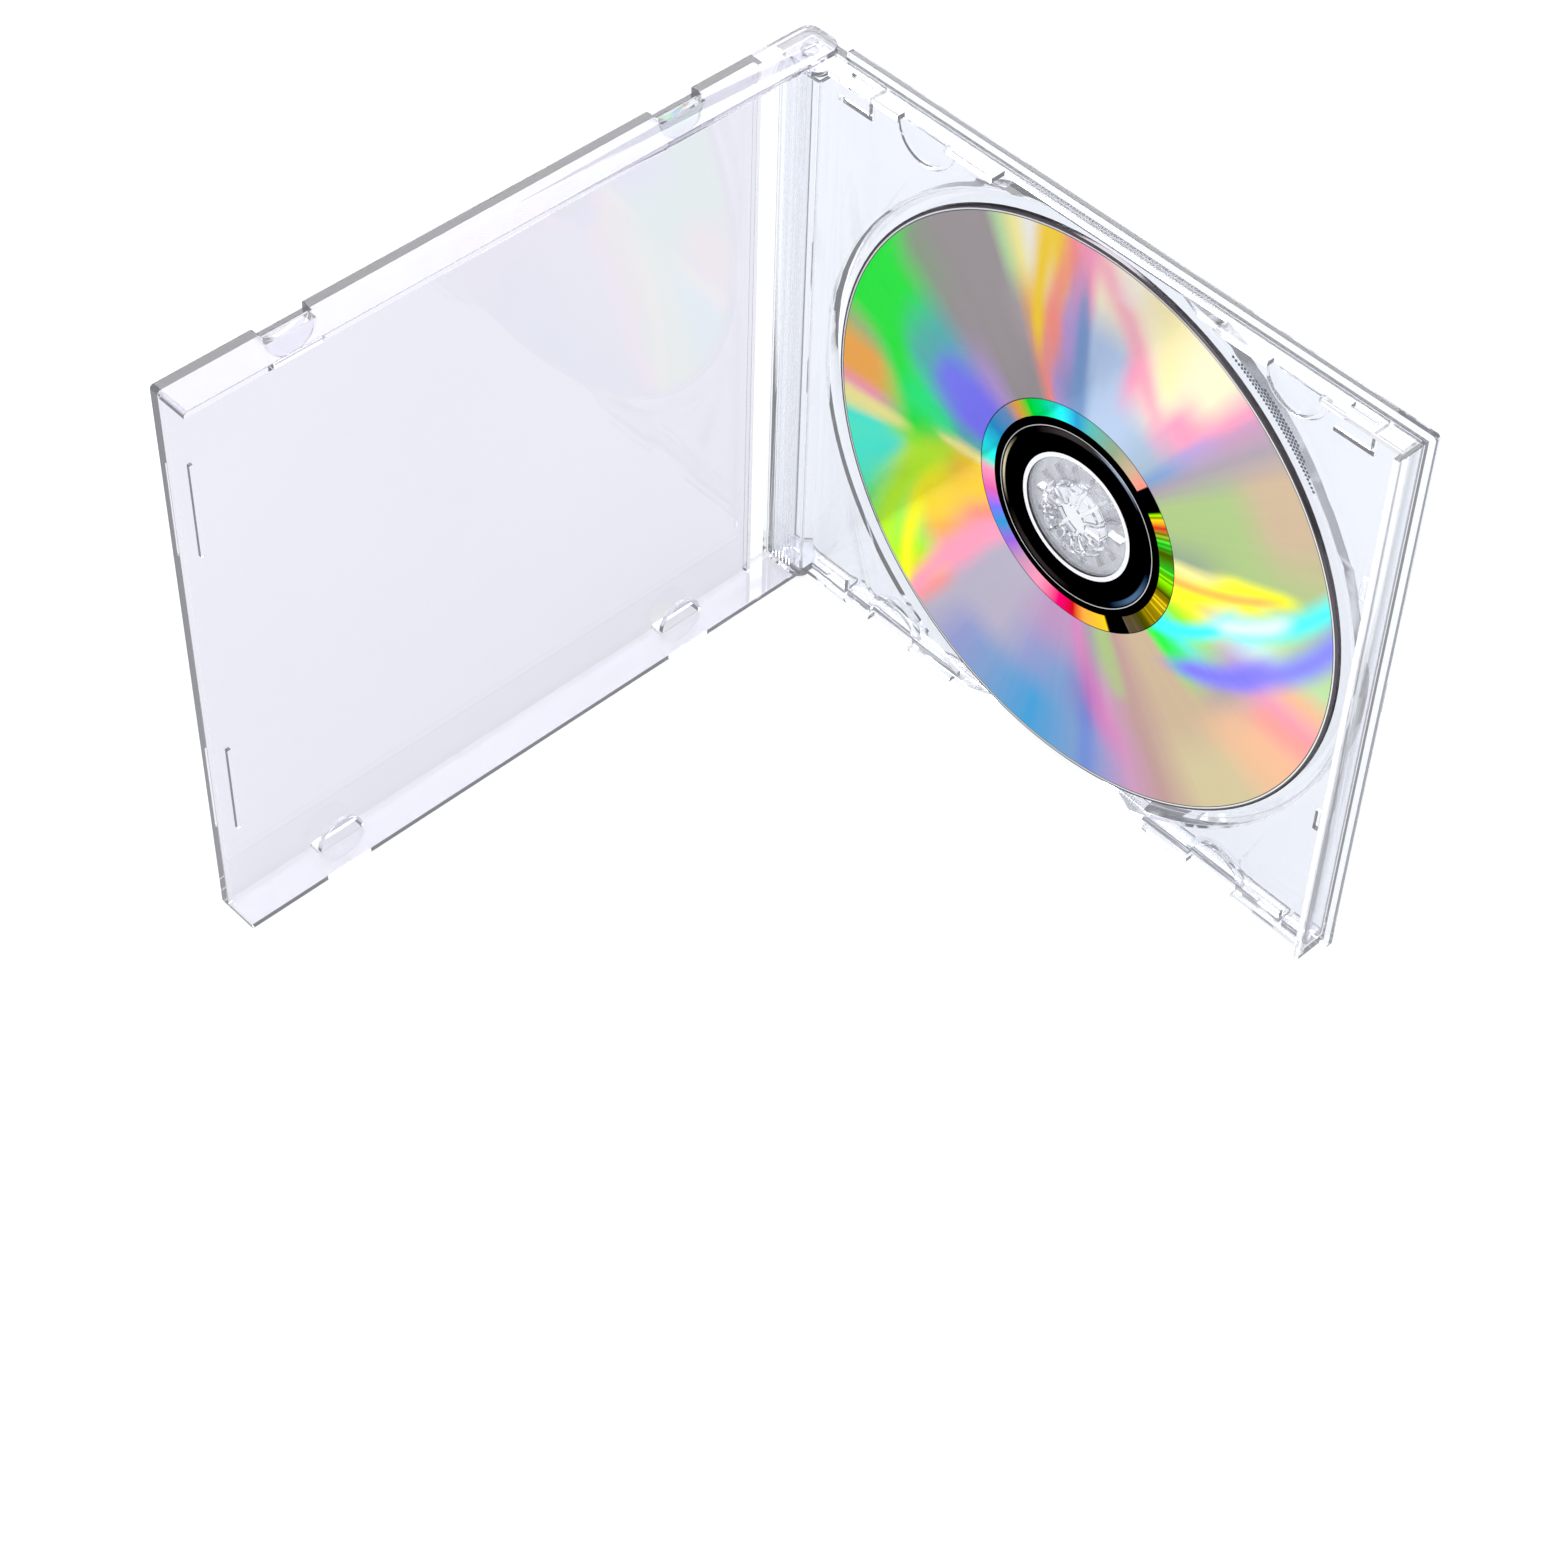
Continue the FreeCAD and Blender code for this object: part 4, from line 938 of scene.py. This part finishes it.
class JEWEL_OT_stage(bpy.types.Operator):
    """Set the pale floor, the soft studio light and the camera"""
    bl_idname = "jewel.stage"
    bl_label = "Studio"

    def execute(self, context):
        studio = context.scene.jewel_case.studio
        scene = context.scene
        scene.view_settings.view_transform = "Standard"

        self.floor(scene, studio)
        self.surround(scene, studio)
        self.area_light(scene, "top_light", *TOP_LIGHT, studio.top_power)
        gleam = self.area_light(scene, "back_light", *BACK_LIGHT, studio.back_power)
        gleam.visible_diffuse = False
        self.camera(scene, studio.lens)
        return {"FINISHED"}

    @staticmethod
    def floor(scene, studio):
        """A pale frosted floor that glows softly."""
        mesh = bpy.data.meshes.new("floor")
        half = FLOOR_HALF_WIDTH
        corners = [(-half, -half), (half, -half), (half, half), (-half, half)]
        mesh.from_pydata([(x, y, -FLOOR_DROP) for x, y in corners], [], [(0, 1, 2, 3)])
        f = Finish("pale_floor")
        cloud = f.noise(f.place(), CLOUD_SCALE)
        tone = tuple(studio.floor_colour)
        mesh.materials.append(f.close(f.add("ShaderNodeBsdfPrincipled", None, {
            "Base Color": f.mix(cloud, tone, tuple(min(1.0, c * CLOUD_SHARE) for c in tone)),
            "Roughness": FLOOR_ROUGHNESS,
            "Emission Color": FLOOR_LIGHT,
            "Emission Strength": studio.floor_glow})))
        floor = bpy.data.objects.new("floor", mesh)
        scene.collection.objects.link(floor)

    @staticmethod
    def surround(scene, studio):
        """A bright surround above dark cards, which the plastic's edges mirror."""
        world = bpy.data.worlds.new("surround")
        scene.world = world
        world.use_nodes = True
        w = NodeTree(world.node_tree)
        height = w.split(w.add("ShaderNodeTexCoord", out="Generated"))[2]
        dim = (studio.horizon,) * 3
        shade = w.add("ShaderNodeValToRGB", {
            "stops": [(0.0, dim), (CARDS_END, dim), (SURROUND_START, WHITE)]}, {"Fac": height})
        w.node("ShaderNodeOutputWorld", None, {
            "Surface": w.add("ShaderNodeBackground", None, {"Color": shade, "Strength": studio.sky})})

    @staticmethod
    def area_light(scene, name, place, size, power):
        """A square light that is turned to the case."""
        lamp = bpy.data.lights.new(name, "AREA")
        lamp.shape = "SQUARE"
        lamp.size = size
        lamp.energy = power
        light = bpy.data.objects.new(name, lamp)
        light.location = place
        light.rotation_euler = (LIGHTS_AIM - Vector(place)).to_track_quat("-Z", "Y").to_euler()
        scene.collection.objects.link(light)
        return light

    @staticmethod
    def camera(scene, lens):
        """The camera, with no blur by distance."""
        view = bpy.data.cameras.new("camera")
        view.lens = lens
        view.sensor_width = SENSOR_WIDTH
        camera = bpy.data.objects.new("camera", view)
        turned = Matrix((CAMERA_RIGHT, -CAMERA_DOWN, -CAMERA_FORWARD)).transposed().to_4x4()
        turned.translation = CAMERA_PLACE
        camera.matrix_world = turned
        scene.collection.objects.link(camera)
        scene.camera = camera


class JEWEL_PT_panel(bpy.types.Panel):
    """Lists the pieces and their settings"""
    bl_label = "Jewel Case"
    bl_idname = "JEWEL_PT_panel"
    bl_space_type = "VIEW_3D"
    bl_region_type = "UI"
    bl_category = "Jewel Case"

    def draw(self, context):
        settings = context.scene.jewel_case
        for operator in OPERATORS:
            self.layout.operator(operator.bl_idname)
        for group in (settings.plastic, settings.disc, settings.grip, settings.studio):
            box = self.layout.box()
            for name in group.__annotations__:
                box.prop(group, name)


OPERATORS = (JEWEL_OT_lid, JEWEL_OT_base, JEWEL_OT_tray, JEWEL_OT_disc, JEWEL_OT_grips, JEWEL_OT_stage)
CLASSES = (
    PlasticSettings, DiscSettings, GripSettings, StudioSettings, JewelCaseSettings, *OPERATORS, JEWEL_PT_panel)


def register():
    for item in CLASSES:
        bpy.utils.register_class(item)
    bpy.types.Scene.jewel_case = PointerProperty(type=JewelCaseSettings)


def unregister():
    del bpy.types.Scene.jewel_case
    for item in reversed(CLASSES):
        bpy.utils.unregister_class(item)


def main():
    register()
    bpy.ops.jewel.lid()
    bpy.ops.jewel.base()
    bpy.ops.jewel.tray()
    bpy.ops.jewel.disc()
    bpy.ops.jewel.grips()
    bpy.ops.jewel.stage()


if __name__ == "__main__":
    main()
